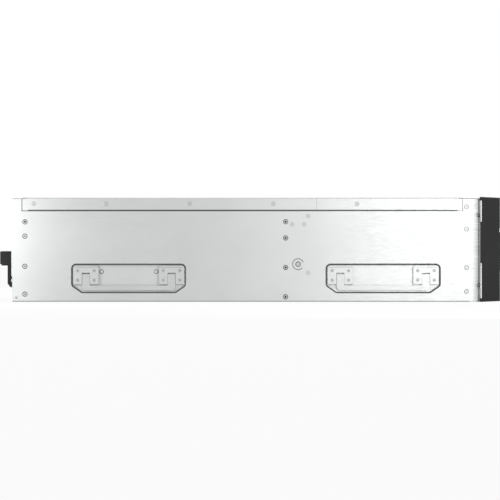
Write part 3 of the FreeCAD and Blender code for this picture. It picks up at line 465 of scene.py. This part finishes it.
def dress_frame():
    """Gives every node of the frame its finish, by the start of its name."""
    by_start = (
        ("side_panel", PANEL), ("top_cover", COVER), ("base_pan", STEEL), ("cross_rails", STEEL),
        ("panel_screws", FASTENER), ("handle_pockets", POCKET), ("handle_guides", GUIDE),
        ("rack_ear", EAR), ("rack_screws", OXIDE), ("drive_cage", LINER),
        ("midplane_board", BOARD), ("midplane_connectors", CONNECTOR), ("rear_cage", LINER),
        ("lift_handle", STRAP), ("end_cap", BLACK), ("drive_carrier", CARRIER),
        ("io_module", MODULE), ("io_lever", BLACK), ("power_module", MODULE),
        ("power_handle", BLACK), ("fan_rotor", ROTOR),
    )
    for name, node in frame["nodes"].items():
        finish = next(finish for start, finish in by_start if name.startswith(start))
        if not node.material_slots:
            node.data.materials.append(finish)
        for slot in node.material_slots:
            slot.material = finish


# ---- shapes ------------------------------------------------------------------------------
MOST_ROUNDING = 0.49  # of the thinnest side, so that opposite bevels stay apart
LOBES = 6
LOBE = (1, 0.86, 0.72, 0.86)  # reach of a recess over one lobe


def finish_piece(name, bm, body, slot, *finishes):
    """Turns a bmesh into a piece that rides on a body."""
    bmesh.ops.recalc_face_normals(bm, faces=bm.faces)
    mesh = bpy.data.meshes.new(name)
    bm.to_mesh(mesh)
    bm.free()
    for finish in finishes:
        mesh.materials.append(finish)
    piece = bpy.data.objects.new(name, mesh)
    bpy.context.scene.collection.objects.link(piece)
    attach(piece, body)
    return piece


def copies(shape, places):
    """One bmesh with a copy of the shape at every place, which is a matrix."""
    pattern = bpy.data.meshes.new("pattern")
    shape.to_mesh(pattern)
    shape.free()
    bm = bmesh.new()
    for place in places:
        done = len(bm.verts)
        bm.from_mesh(pattern)
        bm.verts.ensure_lookup_table()
        bmesh.ops.transform(bm, matrix=place, verts=bm.verts[done:])
    bpy.data.meshes.remove(pattern)
    return bm


def gather(shapes):
    """One bmesh out of several."""
    bm = bmesh.new()
    for shape in shapes:
        part = bpy.data.meshes.new("part")
        shape.to_mesh(part)
        shape.free()
        bm.from_mesh(part)
        bpy.data.meshes.remove(part)
    return bm


def facing(place, outward, turn=0.0):
    """Matrix that stands a shape on a surface, its +Z pointing outward."""
    stand = Vector(outward).to_track_quat("Z", "Y").to_matrix().to_4x4()
    return Matrix.Translation(place) @ stand @ Matrix.Rotation(turn, 4, "Z")


def turned(profile, steps=24, angle=2 * math.pi):
    """Solid spun about Z from (radius, height) points in millimetres.

    A profile that starts on the axis is closed there, and any other is closed into a ring.
    """
    on_axis = profile[0][0] == 0
    last = (0, profile[-1][1]) if on_axis else profile[0]
    bm = bmesh.new()
    points = [bm.verts.new((radius * MM, 0, height * MM)) for radius, height in (*profile, last)]
    edges = [bm.edges.new(ends) for ends in zip(points, points[1:])]
    bmesh.ops.spin(bm, geom=points + edges, cent=(0, 0, 0), axis=(0, 0, 1), angle=angle,
                   steps=steps, use_merge=angle >= 2 * math.pi)
    bmesh.ops.remove_doubles(bm, verts=bm.verts, dist=WELD)
    bmesh.ops.holes_fill(bm, edges=[edge for edge in bm.edges if edge.is_boundary])
    return bm


def bar(low, high, round_by=0.0, segments=2):
    """Box between two corners, with its edges rounded."""
    low, high = Vector(low), Vector(high)
    bm = bmesh.new()
    size = [abs(value) for value in high - low]
    bmesh.ops.create_cube(bm, size=1, matrix=Matrix.Translation((low + high) / 2)
                          @ Matrix.Diagonal((*size, 1)))
    if round_by:
        bmesh.ops.bevel(bm, geom=bm.edges[:], offset=min(round_by, min(size) * MOST_ROUNDING),
                        segments=segments, affect="EDGES", profile=0.5, material=-1)
    return bm


def plate(low, high, axis, corner, segments=4):
    """Thin plate between two corners, with the corners of its outline rounded."""
    bm = bar(low, high)
    across = [edge for edge in bm.edges
              if abs(edge.verts[0].co[axis] - edge.verts[1].co[axis]) > WELD]
    bmesh.ops.bevel(bm, geom=across, offset=corner, segments=segments, affect="EDGES",
                    profile=0.5, material=-1)
    return bm


def socket_head(radius, recess, depth, rim=0.35):
    """Screw head with its top at z = 0: a chamfered edge and a recess with six lobes."""
    bm = bmesh.new()
    height = (depth + rim) * MM
    bmesh.ops.create_cone(bm, cap_ends=True, segments=LOBES * len(LOBE), radius1=radius * MM,
                          radius2=(radius - rim) * MM, depth=height,
                          matrix=Matrix.Translation((0, 0, -height / 2)))
    top = max(bm.faces, key=lambda face: face.calc_center_median().z)
    bmesh.ops.inset_region(bm, faces=[top], thickness=(radius - rim - recess) * MM)
    for i, vert in enumerate(sorted(top.verts, key=lambda one: math.atan2(one.co.y, one.co.x))):
        reach = LOBE[i % len(LOBE)]
        vert.co.x *= reach
        vert.co.y *= reach
    well = bmesh.ops.extrude_discrete_faces(bm, faces=[top])["faces"][0]
    bmesh.ops.translate(bm, vec=(0, 0, -depth * MM), verts=well.verts)
    inside = recess * MM * 1.02
    for face in bm.faces:
        if all(vert.co.xy.length < inside for vert in face.verts):
            face.material_index = 1
    return bm


def thicken(bm, shift):
    """Makes a sheet solid by pulling a copy of its faces out of it."""
    pulled = bmesh.ops.extrude_face_region(bm, geom=bm.faces[:])
    moved = [one for one in pulled["geom"] if isinstance(one, bmesh.types.BMVert)]
    bmesh.ops.translate(bm, vec=shift, verts=moved)


def opening_frame(low, high, wall, depth, proud):
    """Rectangular frame round an opening in a rear face, from (x, y, z) limits in metres."""
    bm = bmesh.new()
    middle = ((low[0] + high[0]) / 2 - proud, (low[1] + high[1]) / 2, (low[2] + high[2]) / 2)
    half = (high[1] - low[1]) / 2 + wall, (high[2] - low[2]) / 2 + wall
    bmesh.ops.create_grid(bm, x_segments=1, y_segments=1, size=1,
                          matrix=Matrix.Translation(middle) @ Matrix.Rotation(math.pi / 2, 4, "Y")
                          @ Matrix.Diagonal((half[1], half[0], 1, 1)))
    inner = bm.faces[:]
    bmesh.ops.inset_region(bm, faces=inner, thickness=wall, use_boundary=True)
    bmesh.ops.delete(bm, geom=inner, context="FACES")
    thicken(bm, (depth, 0, 0))
    return bm


def perforated_sheet(low, high, rear, pitch, wall, thick):
    """Sheet with staggered six-sided vents between (y, z) limits, its back face at X = rear."""
    cell = bmesh.new()
    bmesh.ops.create_circle(cell, cap_ends=True, radius=pitch / math.sqrt(3), segments=6)
    hole = cell.faces[:]
    bmesh.ops.inset_region(cell, faces=hole, thickness=wall / 2, use_boundary=True)
    bmesh.ops.delete(cell, geom=hole, context="FACES")
    row_pitch = pitch * math.sqrt(3) / 2
    slack = 0.01
    places = []
    for row in range(int((high[1] - low[1]) / row_pitch) + 1):
        shift = pitch / 2 if row % 2 else 0
        for i in range(int((high[0] - low[0] - shift) / pitch + slack) + 1):
            spot = (rear, low[0] + shift + i * pitch, low[1] + row * row_pitch)
            places.append(facing(spot, (-1, 0, 0)))
    bm = copies(cell, places)
    bmesh.ops.remove_doubles(bm, verts=bm.verts, dist=WELD)
    thicken(bm, (-thick, 0, 0))
    return bm


# ---- fittings of the side panels ---------------------------------------------------------
SIDES = ((-1, "left"), (1, "right"))
TURN_PER_MM = 0.4  # radians, so that no two fasteners stand alike


def side_place(side, distance, height, proud=0.0, turn=0.0):
    """Matrix on the outer face of a side panel: side is -1 on the left, 1 on the right."""
    return facing((at(distance), side * SKIN + side * proud * MM, height * MM), (0, side, 0), turn)


def both_sides(places, proud=0.0):
    """The same places on both side panels, each with a turn of its own."""
    return [side_place(side, distance, height, proud, TURN_PER_MM * distance)
            for side, _ in SIDES for distance, height in places]


def side_fasteners(name, profile, places, finish, steps=24):
    """Spun fasteners at the same places on both side panels."""
    heads = copies(turned(profile, steps), both_sides(places))
    finish_piece(name, heads, CHASSIS, "fastener_steel", finish)


def studs_and_rivets():
    """Clinched studs of the covers, and flush studs of the ears and of the brackets inside."""
    covers = [(distance, 164.3) for distance in (35.8, 157.3, 297.0, 437.0, 577.2)]
    ears = [(760.5, height) for height in (159.1, 121.8, 57.3, 17.1)]
    brackets = [(495.3, 143.5), (468.5, 130.0), (488.5, 129.8), (495.3, 48.6)]
    stud = [(0, 0.2), (3.3, 0.2), (3.9, 0.08), (4.1, -0.1)]
    ring = [(3.2, -0.05), (3.3, 0.1), (4.1, 0.1), (4.25, -0.05)]
    side_fasteners("cover_studs", stud, covers, DULL)
    side_fasteners("ear_rivets", [(0, 0.08), (3.2, 0.08), (3.4, -0.05)], ears, FLUSH)
    side_fasteners("ear_rivet_rims", ring, ears, RIM)
    side_fasteners("bracket_studs", [(0, 0.05), (3.8, 0.05), (4.1, -0.05)], brackets, FLUSH)
    side_fasteners("corner_rivets", [(0, 0.1), (1.8, 0.1), (2.5, -0.05)], [(6.5, 7.0)],
                   SEAT_RING, 16)


def panel_screw_heads():
    """Socket-head screws, flush in the side panels, each in a countersunk seat."""
    top = [(20.9, 134.0)]
    rear = [(20.9, height) for height in (110.0, 59.6, 12.9)]
    middle = [(457.5, height) for height in (134.2, 106.9, 57.5, 8.4)]
    kinds = ((2.0, 1.2, top), (1.2, 0.6, rear), (2.0, 1.2, middle))
    heads = gather([copies(socket_head(3.6, recess, depth), both_sides(places, -0.1))
                    for recess, depth, places in kinds])
    piece = finish_piece("panel_screw_heads", heads, CHASSIS, "fastener_steel", FLUSH, RECESS_SHADE)
    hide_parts("panel_screws")
    seat = [(3.35, -0.6), (3.8, -0.02), (4.35, 0.03), (4.35, -0.3)]
    side_fasteners("panel_screw_seats", seat, top + rear + middle, SEAT, 32)


def key_marks():
    """Position mark round the key point of the midplane latch: a ring inside an open arc."""
    for (side, name), arc_turn in zip(SIDES, (20, 220)):
        eye = turned([(3.0, -0.05), (3.1, 0.12), (4.7, 0.12), (4.85, -0.05)], 32)
        arc = turned([(8.4, -0.05), (8.4, 0.08), (9.9, 0.08), (9.9, -0.05)], 40, math.radians(300))
        ring = gather([copies(shape, [side_place(side, *KEY_POINT, turn=math.radians(turn))])
                       for shape, turn in ((eye, 0), (arc, arc_turn))])
        finish_piece("lock_ring_" + name, ring, CHASSIS, "fastener_steel", MARK)
        pin = turned([(0, 0.06), (2.7, 0.06), (2.95, -0.05)])
        finish_piece("lock_pin_" + name, copies(pin, [side_place(side, *KEY_POINT)]), CHASSIS,
                     "fastener_steel", DULL)


def pocket_fittings():
    """Small countersunk screws of the guides, and the eyelets beside the rear bails."""
    guide_face = abs(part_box("handle_guides")[0].y) + 0.25 * MM
    screws = [facing((at(centre + offset), side * guide_face, height * MM), (0, side, 0), offset)
              for side, _ in SIDES for centre in POCKETS
              for offset in (-85.6, -57.8, 57.8, 85.6) for height in (52.3, 36.3)]
    head = socket_head(3.1, 1.8, 0.2, 0.3)
    finish_piece("guide_screws", copies(head, screws), CHASSIS, "fastener_steel", DULL, SEAT_RING)
    pan_floor = SKIN - 11 * MM
    eyelet = turned([(2.6, -0.2), (2.6, 0.7), (3.0, 1.0), (3.6, 0.8), (4.0, -0.1)])
    places = [facing((at(POCKETS[0] + offset), side * pan_floor, 50.4 * MM), (0, side, 0))
              for side, _ in SIDES for offset in (-45.8, 45.8)]
    finish_piece("pocket_eyelets", copies(eyelet, places), CHASSIS, "fastener_steel", SEAT_RING)


# ---- drive carriers ----------------------------------------------------------------------
# In millimetres: forward from the rear edge of the panels, up from the foot of a carrier, and
# forward and across from the rear middle of a drive.
DRIVE_REARS = (483.0, 634.0)
LID_TOP = 26.7
LID_SCREWS = ((9, -42), (9, 42), (68, -44), (68, 44), (126, -42), (126, 42))


def rib_grid(low, high, pitch, thick):
    """Upright bars that fill a window between two corners, with one bar across them."""
    count = int((high.y - low.y) / pitch)
    step = (high.y - low.y) / count
    ribs = [bar((low.x, low.y + (i + 0.5) * step - thick / 2, low.z),
                (high.x, low.y + (i + 0.5) * step + thick / 2, high.z)) for i in range(count)]
    middle, behind = (low.z + high.z) / 2, 0.1 * MM
    ribs.append(bar((low.x - behind, low.y, middle - thick / 2),
                    (high.x - behind, high.y, middle + thick / 2)))
    return gather(ribs)


def drive_lids(name):
    """Stamped lids, spindle caps and lid screws on the two drives of one carrier."""
    low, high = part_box(name)
    middle, top = (low.y + high.y) / 2, low.z + LID_TOP * MM
    half_width, corner = 48 * MM, 7 * MM
    lids, screws = [], []
    for rear in DRIVE_REARS:
        lids.append(plate((at(rear + 3), middle - half_width, top - 0.1 * MM),
                          (at(rear + 132), middle + half_width, top + 0.14 * MM), 2, corner))
        spindle = turned([(0, 0.2), (14, 0.2), (14.6, 0.12)], 32)
        lids.append(copies(spindle, [Matrix.Translation((at(rear + 92), middle + 4 * MM, top))]))
        screws += [Matrix.Translation((at(rear + along), middle + across * MM, top))
                   for along, across in LID_SCREWS]
    finish_piece(name + "_lids", gather(lids), name, "sheet_steel", LID)
    head = turned([(0, 0.16), (1.0, 0.16), (1.1, 0.24), (2.3, 0.24), (2.6, 0.1)], 12)
    finish_piece(name + "_lid_screws", copies(head, screws), name, "fastener_steel", FASTENER)


def carrier_trim(name):
    """Vent grilles, lever cap, latch button and lenses on the face of one carrier."""
    low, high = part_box(name)
    face = high.x - 3 * MM
    rim, gap, windows = 3.2 * MM, 0.8 * MM, 4
    pitch = (high.y - low.y - 2 * rim) / windows
    grilles = []
    for i in range(windows):
        start = low.y + rim + i * pitch
        grilles.append(rib_grid(Vector((face - 2.6 * MM, start + gap, low.z + 12 * MM)),
                                Vector((face - 1.7 * MM, start + pitch - gap, high.z - rim)),
                                pitch=2.6 * MM, thick=0.9 * MM))
    finish_piece(name + "_grille", gather(grilles), name, "black_plastic", ROTOR)
    left, right = low.y + 5.6 * MM, high.y - 5.6 * MM
    cap = bar((face + 0.2 * MM, left, low.z + 0.4 * MM),
              (high.x + 0.3 * MM, right, low.z + 9.2 * MM), 1.1 * MM, 3)
    scoop = bar((high.x + 0.1 * MM, left + 16 * MM, low.z + 2.6 * MM),
                (high.x + 0.5 * MM, left + 58 * MM, low.z + 7 * MM), 0.2 * MM, 1)
    finish_piece(name + "_lever_cap", gather([cap, scoop]), name, "black_plastic", LEVER)
    button = bar((high.x, left + 3 * MM, low.z + 2.2 * MM),
                 (high.x + 0.9 * MM, left + 12 * MM, low.z + 7.4 * MM), 0.5 * MM)
    finish_piece(name + "_button", button, name, "black_plastic", LATCH)
    for offset, kind in ((8, "ready"), (14, "fault")):
        dome = turned([(0, 0.5), (0.7, 0.4), (1.1, 0.0), (1.1, -0.3)], 16)
        place = (high.x + 0.3 * MM, right - offset * MM, low.z + 4.8 * MM)
        finish_piece(name + "_" + kind, copies(dome, [facing(place, (1, 0, 0))]), name,
                     "black_plastic", LENS)


def all_carriers():
    for name in frame["nodes"]:
        if name.startswith("drive_carrier"):
            carrier_trim(name)
            drive_lids(name)


# ---- end caps ----------------------------------------------------------------------------
RACK_SCREW_RADIUS = 5 * MM
CAP_WINDOW = (116.6 * MM, 123.4 * MM)  # heights, between the two upper bands
CAP_LIPS = ((6 * MM, 65.2 * MM), (133.8 * MM, 169.6 * MM))  # heights, behind the outer edge


def cap_trim(name):
    """Bands, light edges, lips, window and access rings for the rack screws of one end cap."""
    low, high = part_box(name)
    side = math.copysign(1, low.y)
    outer = max(abs(low.y), abs(high.y))
    margin = 1.9 * MM
    bands = [(low.z + margin, 50.4 * MM), (53.2 * MM, 116.4 * MM),
             (123.6 * MM, high.z - margin)]
    plates = [bar((high.x - 0.5 * MM, low.y + 1.6 * MM, start),
                  (high.x + 0.1 * MM, high.y - 1.2 * MM, end), 0.3 * MM) for start, end in bands]
    finish_piece(name + "_bands", gather(plates), name, "black_plastic", CAP_FRONT)
    proud = 0.12 * MM
    edges = [bar((high.x - 1.5 * MM, side * (outer - 2 * MM), start),
                 (high.x + proud, side * (outer + proud), end), 0.1 * MM)
             for start, end in (bands[0], bands[-1])]
    finish_piece(name + "_edges", gather(edges), name, "black_plastic", EDGE)
    lips = [bar((at(785), side * (outer - 1.2 * MM), start),
                (at(788), side * (outer - 0.05 * MM), end)) for start, end in CAP_LIPS]
    finish_piece(name + "_lips", gather(lips), name, "black_plastic", BLACK)
    proud = 0.14 * MM
    window = bar((high.x - 1.8 * MM, side * (outer - 2 * MM), CAP_WINDOW[0]),
                 (high.x + proud, side * (outer + proud), CAP_WINDOW[1]), 0.1 * MM)
    finish_piece(name + "_window", window, name, "black_plastic", LENS)
    screws_low, screws_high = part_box("rack_screws")
    ring = turned([(4.2, -0.3), (4.2, 0.5), (5.2, 0.7), (6.2, 0.3), (6.3, -0.3)], 28)
    well = turned([(0, 0.16), (4.2, 0.16), (4.3, -0.2)], 28)
    across = side * (screws_high.y - RACK_SCREW_RADIUS)
    places = [facing((high.x + 0.05 * MM, across, height), (1, 0, 0))
              for height in (screws_low.z + RACK_SCREW_RADIUS, screws_high.z - RACK_SCREW_RADIUS)]
    finish_piece(name + "_rings", copies(ring, places), name, "black_plastic", BLACK)
    finish_piece(name + "_wells", copies(well, places), name, "black_plastic", ROTOR)


def status_panel(name):
    """Column of status lenses under a round button, on the front of one end cap."""
    low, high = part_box(name)
    front, middle = high.x + 0.1 * MM, (low.y + high.y) / 2
    lens = turned([(0, 0.5), (1.1, 0.4), (1.6, 0.0), (1.6, -0.2)], 20)
    top, pitch, button_height = 96, 9, 106
    lamps = [facing((front, middle, (top - pitch * i) * MM), (1, 0, 0)) for i in range(4)]
    finish_piece("status_lenses", copies(lens, lamps), name, "black_plastic", LENS)
    key = turned([(0, 0.5), (4.4, 0.5), (5.0, 0.2), (5.2, -0.1)], 32)
    place = facing((front, middle, button_height * MM), (1, 0, 0))
    finish_piece("status_button", copies(key, [place]), name, "black_plastic", LATCH)


# ---- rear modules ------------------------------------------------------------------------
IO_FACE, POWER_FACE = at(9), at(2)  # X of the modules' rear faces
PORT_WIDTHS = (19, 19, 19, 19, 13)
INLET_Y, LATCH_Y, FAN_Y = 36 * MM, 62 * MM, 105.1 * MM  # from the middle, on either side


def module_screws(name, face, inset):
    """Two screws in the upper corners of a module's face."""
    low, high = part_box(name)
    head = socket_head(2.6, 1.3, 0.5)
    places = [facing((face - 0.6 * MM, y, high.z - inset), (-1, 0, 0))
              for y in (low.y + inset, high.y - inset)]
    finish_piece(name + "_screws", copies(head, places), name, "fastener_steel", FASTENER, RECESS_SHADE)


def vent_field(name, low, high, face, body):
    """Perforated sheet in a frame, on a dark sheet of painted shade behind it, between (y, z)
    limits.
    """
    sheet = perforated_sheet(low, high, face - 0.05 * MM, pitch=4.4 * MM, wall=0.9 * MM,
                             thick=0.45 * MM)
    border = opening_frame((face, *low), (face, *high), wall=2.4 * MM, depth=0.55 * MM,
                           proud=0.6 * MM)
    finish_piece(name, gather([sheet, border]), body, "module_steel", MODULE)
    # Painted shade: a dark sheet just behind the vents, for the shade inside the module.
    lap = 1 * MM
    dark = bar((face - 0.04 * MM, low[0] - lap, low[1] - lap),
               (face - 0.01 * MM, high[0] + lap, high[1] + lap))
    finish_piece(name + "_dark", dark, body, "black_plastic", HOLLOW)


def io_fittings(name):
    """Port shells, contact tongues, vents and lenses of an interface module."""
    low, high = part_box(name)
    face = IO_FACE
    z = high.z - 24 * MM
    first, pitch, half_height = 29, 30, 4.5 * MM
    shells, tongues = [], []
    for i, width in enumerate(PORT_WIDTHS):
        y, half = low.y + (first + pitch * i) * MM, width / 2 * MM
        shells.append(opening_frame((face, y - half, z - half_height),
                                    (face, y + half, z + half_height),
                                    wall=0.7 * MM, depth=8 * MM, proud=0.9 * MM))
        tongues.append(bar((face + 4 * MM, y - half * 0.7, z - 0.6 * MM),
                           (face + 14 * MM, y + half * 0.7, z + 0.6 * MM), 0.2 * MM, 1))
        tongues.append(bar((face + 14 * MM, y - half + 0.1 * MM, z - 4.4 * MM),
                           (face + 22 * MM, y + half - 0.1 * MM, z + 4.4 * MM), 0.2 * MM, 1))
    finish_piece(name + "_port_shells", gather(shells), name, "fastener_steel", FASTENER)
    finish_piece(name + "_port_tongues", gather(tongues), name, "connector", CONNECTOR)
    near, far = low.y + 12 * MM, high.y - 12 * MM
    for part, bottom, top in (("_vents", z - 33 * MM, z - 12 * MM),
                              ("_top_vents", z + 11 * MM, high.z - 5 * MM)):
        vent_field(name + part, (near, bottom), (far, top), face, name)
    lens = turned([(0, 0.5), (0.8, 0.4), (1.2, 0.0), (1.2, -0.2)], 16)
    first, pitch = 179, 6
    places = [facing((face, low.y + (first + pitch * i) * MM, z + row * MM), (-1, 0, 0))
              for i in range(3) for row in (-3, 3)]
    finish_piece(name + "_lenses", copies(lens, places), name, "black_plastic", LENS)
    module_screws(name, face, 5 * MM)


def io_lever_trim(name):
    """Grip ribs and latch tab on the lever of an interface module."""
    low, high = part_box(name)
    rear = low.x
    middle = (low.z + high.z) / 2
    inner = min(abs(low.y), abs(high.y))
    sign = math.copysign(1, low.y)
    first, pitch, half = 8, 3, 0.6 * MM
    ribs = []
    for i in range(9):
        y = sign * (inner + (first + pitch * i) * MM)
        ribs.append(bar((rear - 0.35 * MM, y - half, low.z + 1.6 * MM),
                        (rear + 0.4 * MM, y + half, high.z - 1.6 * MM), 0.25 * MM))
    finish_piece(name + "_ribs", gather(ribs), name, "black_plastic", BLACK)
    y = sign * (inner + 46 * MM)
    tab = bar((rear - 0.8 * MM, y - 6 * MM, middle - 3 * MM),
              (rear + 0.4 * MM, y + 6 * MM, middle + 3 * MM), 0.6 * MM, 3)
    finish_piece(name + "_tab", tab, name, "black_plastic", LATCH)


def power_inlet(name, face, y, z):
    """Shroud, back wall and blades of a mains inlet."""
    half_width, half_height = 14 * MM, 10 * MM
    shroud = opening_frame((face, y - half_width, z - half_height),
                           (face, y + half_width, z + half_height),
                           wall=1.9 * MM, depth=3.2 * MM, proud=1.2 * MM)
    back = bar((face + 12 * MM, y - 13.9 * MM, z - 9.9 * MM),
               (face + 15 * MM, y + 13.9 * MM, z + 9.9 * MM), 0.3 * MM, 1)
    finish_piece(name + "_inlet", gather([shroud, back]), name, "black_plastic", ROTOR)
    blades = [bar((face + 3 * MM, y + (across - 1) * MM, z + (up - 2) * MM),
                  (face + 12.3 * MM, y + (across + 1) * MM, z + (up + 2) * MM), 0.4 * MM)
              for across, up in ((-7, -3), (0, 3), (7, -3))]
    finish_piece(name + "_blades", gather(blades), name, "fastener_steel", FASTENER)


def power_fittings(name):
    """Inlet, latch, lenses, finger guard and vents of a power module."""
    low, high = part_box(name)
    side = math.copysign(1, low.y)
    face, z = POWER_FACE, (low.z + high.z) / 2
    power_inlet(name, face, side * INLET_Y, z)
    y = side * LATCH_Y
    latch = bar((face - 3.2 * MM, y - 5 * MM, 70 * MM), (face + 0.2 * MM, y + 5 * MM, 82 * MM),
                1.2 * MM, 3)
    finish_piece(name + "_latch", latch, name, "black_plastic", LATCH)
    lens = turned([(0, 0.5), (1.0, 0.4), (1.5, 0.0), (1.5, -0.2)], 20)
    first, pitch, height = 20, 8, 76 * MM
    places = [facing((face, side * (first + pitch * i) * MM, height), (-1, 0, 0))
              for i in range(3)]
    finish_piece(name + "_lenses", copies(lens, places), name, "black_plastic", LENS)
    rings = gather([turned([(inner, -0.3), (inner + 0.2, 0.25), (inner + 1.0, 0.25),
                            (inner + 1.2, -0.3)], 48) for inner in (12.0, 20.0, 30.4)])
    guard = copies(rings, [facing((face, side * FAN_Y, z), (-1, 0, 0))])
    finish_piece(name + "_guard_rings", guard, name, "fastener_steel", FASTENER)
    near, far = sorted((side * 12 * MM, side * 60 * MM))
    vent_field(name + "_vents", (near, 10 * MM), (far, 28 * MM), face, name)
    module_screws(name, face, 4 * MM)


def fan_hub(name):
    """Moulded cap with a sunk middle on the hub of a fan rotor."""
    low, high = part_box(name)
    middle = (low.x, (low.y + high.y) / 2, (low.z + high.z) / 2)
    cap = turned([(0, 0.15), (2.4, 0.15), (2.8, 0.35), (9.6, 0.35), (10.6, -0.2)], 40)
    finish_piece(name + "_cap", copies(cap, [facing(middle, (-1, 0, 0))]), name, "rotor", ROTOR)


def power_handle_trim(name):
    """Ribbed pad on the grip of a power module's handle, and the stiffeners of its arms."""
    low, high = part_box(name)
    pad = bar((low.x - 1.7 * MM, low.y + 0.2 * MM, high.z - 22 * MM),
              (low.x + 0.6 * MM, high.y - 0.2 * MM, high.z - 0.3 * MM), 0.9 * MM, 3)
    first, pitch, width = 7 * MM, 3.2 * MM, 1.6 * MM
    ribs = [bar((low.x - 2 * MM, low.y + first + i * pitch, high.z - 18 * MM),
                (low.x - 1.3 * MM, low.y + first + i * pitch + width, high.z - 5 * MM), 0.3 * MM)
            for i in range(int((high.y - low.y - 2 * first) / pitch))]
    finish_piece(name + "_pad", gather([pad] + ribs), name, "black_plastic", BLACK)
    back, grip_low = low.x + 12.8 * MM, high.z - 23.4 * MM
    stiffeners = []
    for y in (low.y + 0.5 * MM, high.y - 8.5 * MM):
        far = y + 8 * MM
        stiffeners.append(bar((back - 1.8 * MM, y, low.z + 5.2 * MM),
                              (back + 0.4 * MM, far, grip_low), 0.4 * MM))
        stiffeners.append(bar((low.x + 0.3 * MM, y, grip_low - 0.9 * MM),
                              (back, far, grip_low + 0.5 * MM), 0.4 * MM))
    finish_piece(name + "_stiffeners", gather(stiffeners), name, "black_plastic", BLACK)


def power_flange(name):
    """Turned-out edge of a power module's face, outside its handle, in three steps."""
    low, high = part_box(name)
    side = math.copysign(1, low.y)
    outer = max(abs(low.y), abs(high.y))
    near, far = side * (outer - 4.6 * MM), side * (outer - 3.8 * MM)
    steps = (  # reach to the rear, lower end and upper end
        (4.9 * MM, 42.6 * MM, high.z - 0.6 * MM),
        (3.5 * MM, low.z + 8 * MM, 43.6 * MM),
        (5 * MM, 33.6 * MM, 38.2 * MM),
    )
    flange = [plate((POWER_FACE - reach, near, start), (POWER_FACE + 0.3 * MM, far, end),
                    1, 0.9 * MM, 3) for reach, start, end in steps]
    finish_piece(name + "_flange", gather(flange), name, "module_steel", MODULE)


# ---- top and base ------------------------------------------------------------------------
COVER_SCREWS_Y = (-0.205, -0.07, 0.07, 0.205)
BASE_RIVETS_Y = (-0.19, -0.105, 0.0, 0.105, 0.19)


def cover_screws():
    """Flat screws in rows across both ends of each top cover."""
    head = socket_head(3.2, 1.6, 0.2)
    inset = 9 * MM
    places = []
    for node in ("top_cover_rear", "top_cover_front"):
        low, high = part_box(node)
        places += [facing((x, y, high.z + 0.25 * MM), (0, 0, 1), y)
                   for x in (low.x + inset, high.x - inset) for y in COVER_SCREWS_Y]
    finish_piece("cover_screws", copies(head, places), CHASSIS, "fastener_steel", FASTENER, RECESS_SHADE)


def rear_corner_tabs():
    """Folded tabs that close the upper corners between the rear cage and the side panels."""
    tabs = [bar((at(11.4), side * 210.9 * MM, 148 * MM), (at(12.4), side * 221.3 * MM, 171.6 * MM),
                0.2 * MM, 1) for side, _ in SIDES]
    finish_piece("rear_corner_tabs", gather(tabs), CHASSIS, "liner_steel", LINER)


def base_rivets():
    """Rows of rivets across the underside of the base pan."""
    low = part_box("base_pan")[0]
    rivet = turned([(0, 0.7), (1.5, 0.6), (2.2, 0.2), (2.3, -0.1)], 14)
    first, pitch = 20, 92
    places = [facing((low.x + (first + pitch * i) * MM, y, low.z), (0, 0, -1))
              for i in range(9) for y in BASE_RIVETS_Y]
    finish_piece("base_rivets", copies(rivet, places), CHASSIS, "fastener_steel", DULL)


place_camera()
for lamp in LAMPS:
    soft_box(*lamp)
light_world()
lay_floor()
dress_frame()
studs_and_rivets()
panel_screw_heads()
key_marks()
pocket_fittings()
all_carriers()
for _, side in SIDES:
    cap_trim("end_cap_" + side)
status_panel("end_cap_left")
for _, side in SIDES:
    io_fittings("io_module_" + side)
    io_lever_trim("io_lever_" + side)
    power_fittings("power_module_" + side)
    power_flange("power_module_" + side)
    power_handle_trim("power_handle_" + side)
    fan_hub("fan_rotor_" + side)
cover_screws()
rear_corner_tabs()
base_rivets()

bpy.context.scene.view_settings.view_transform = "Standard"
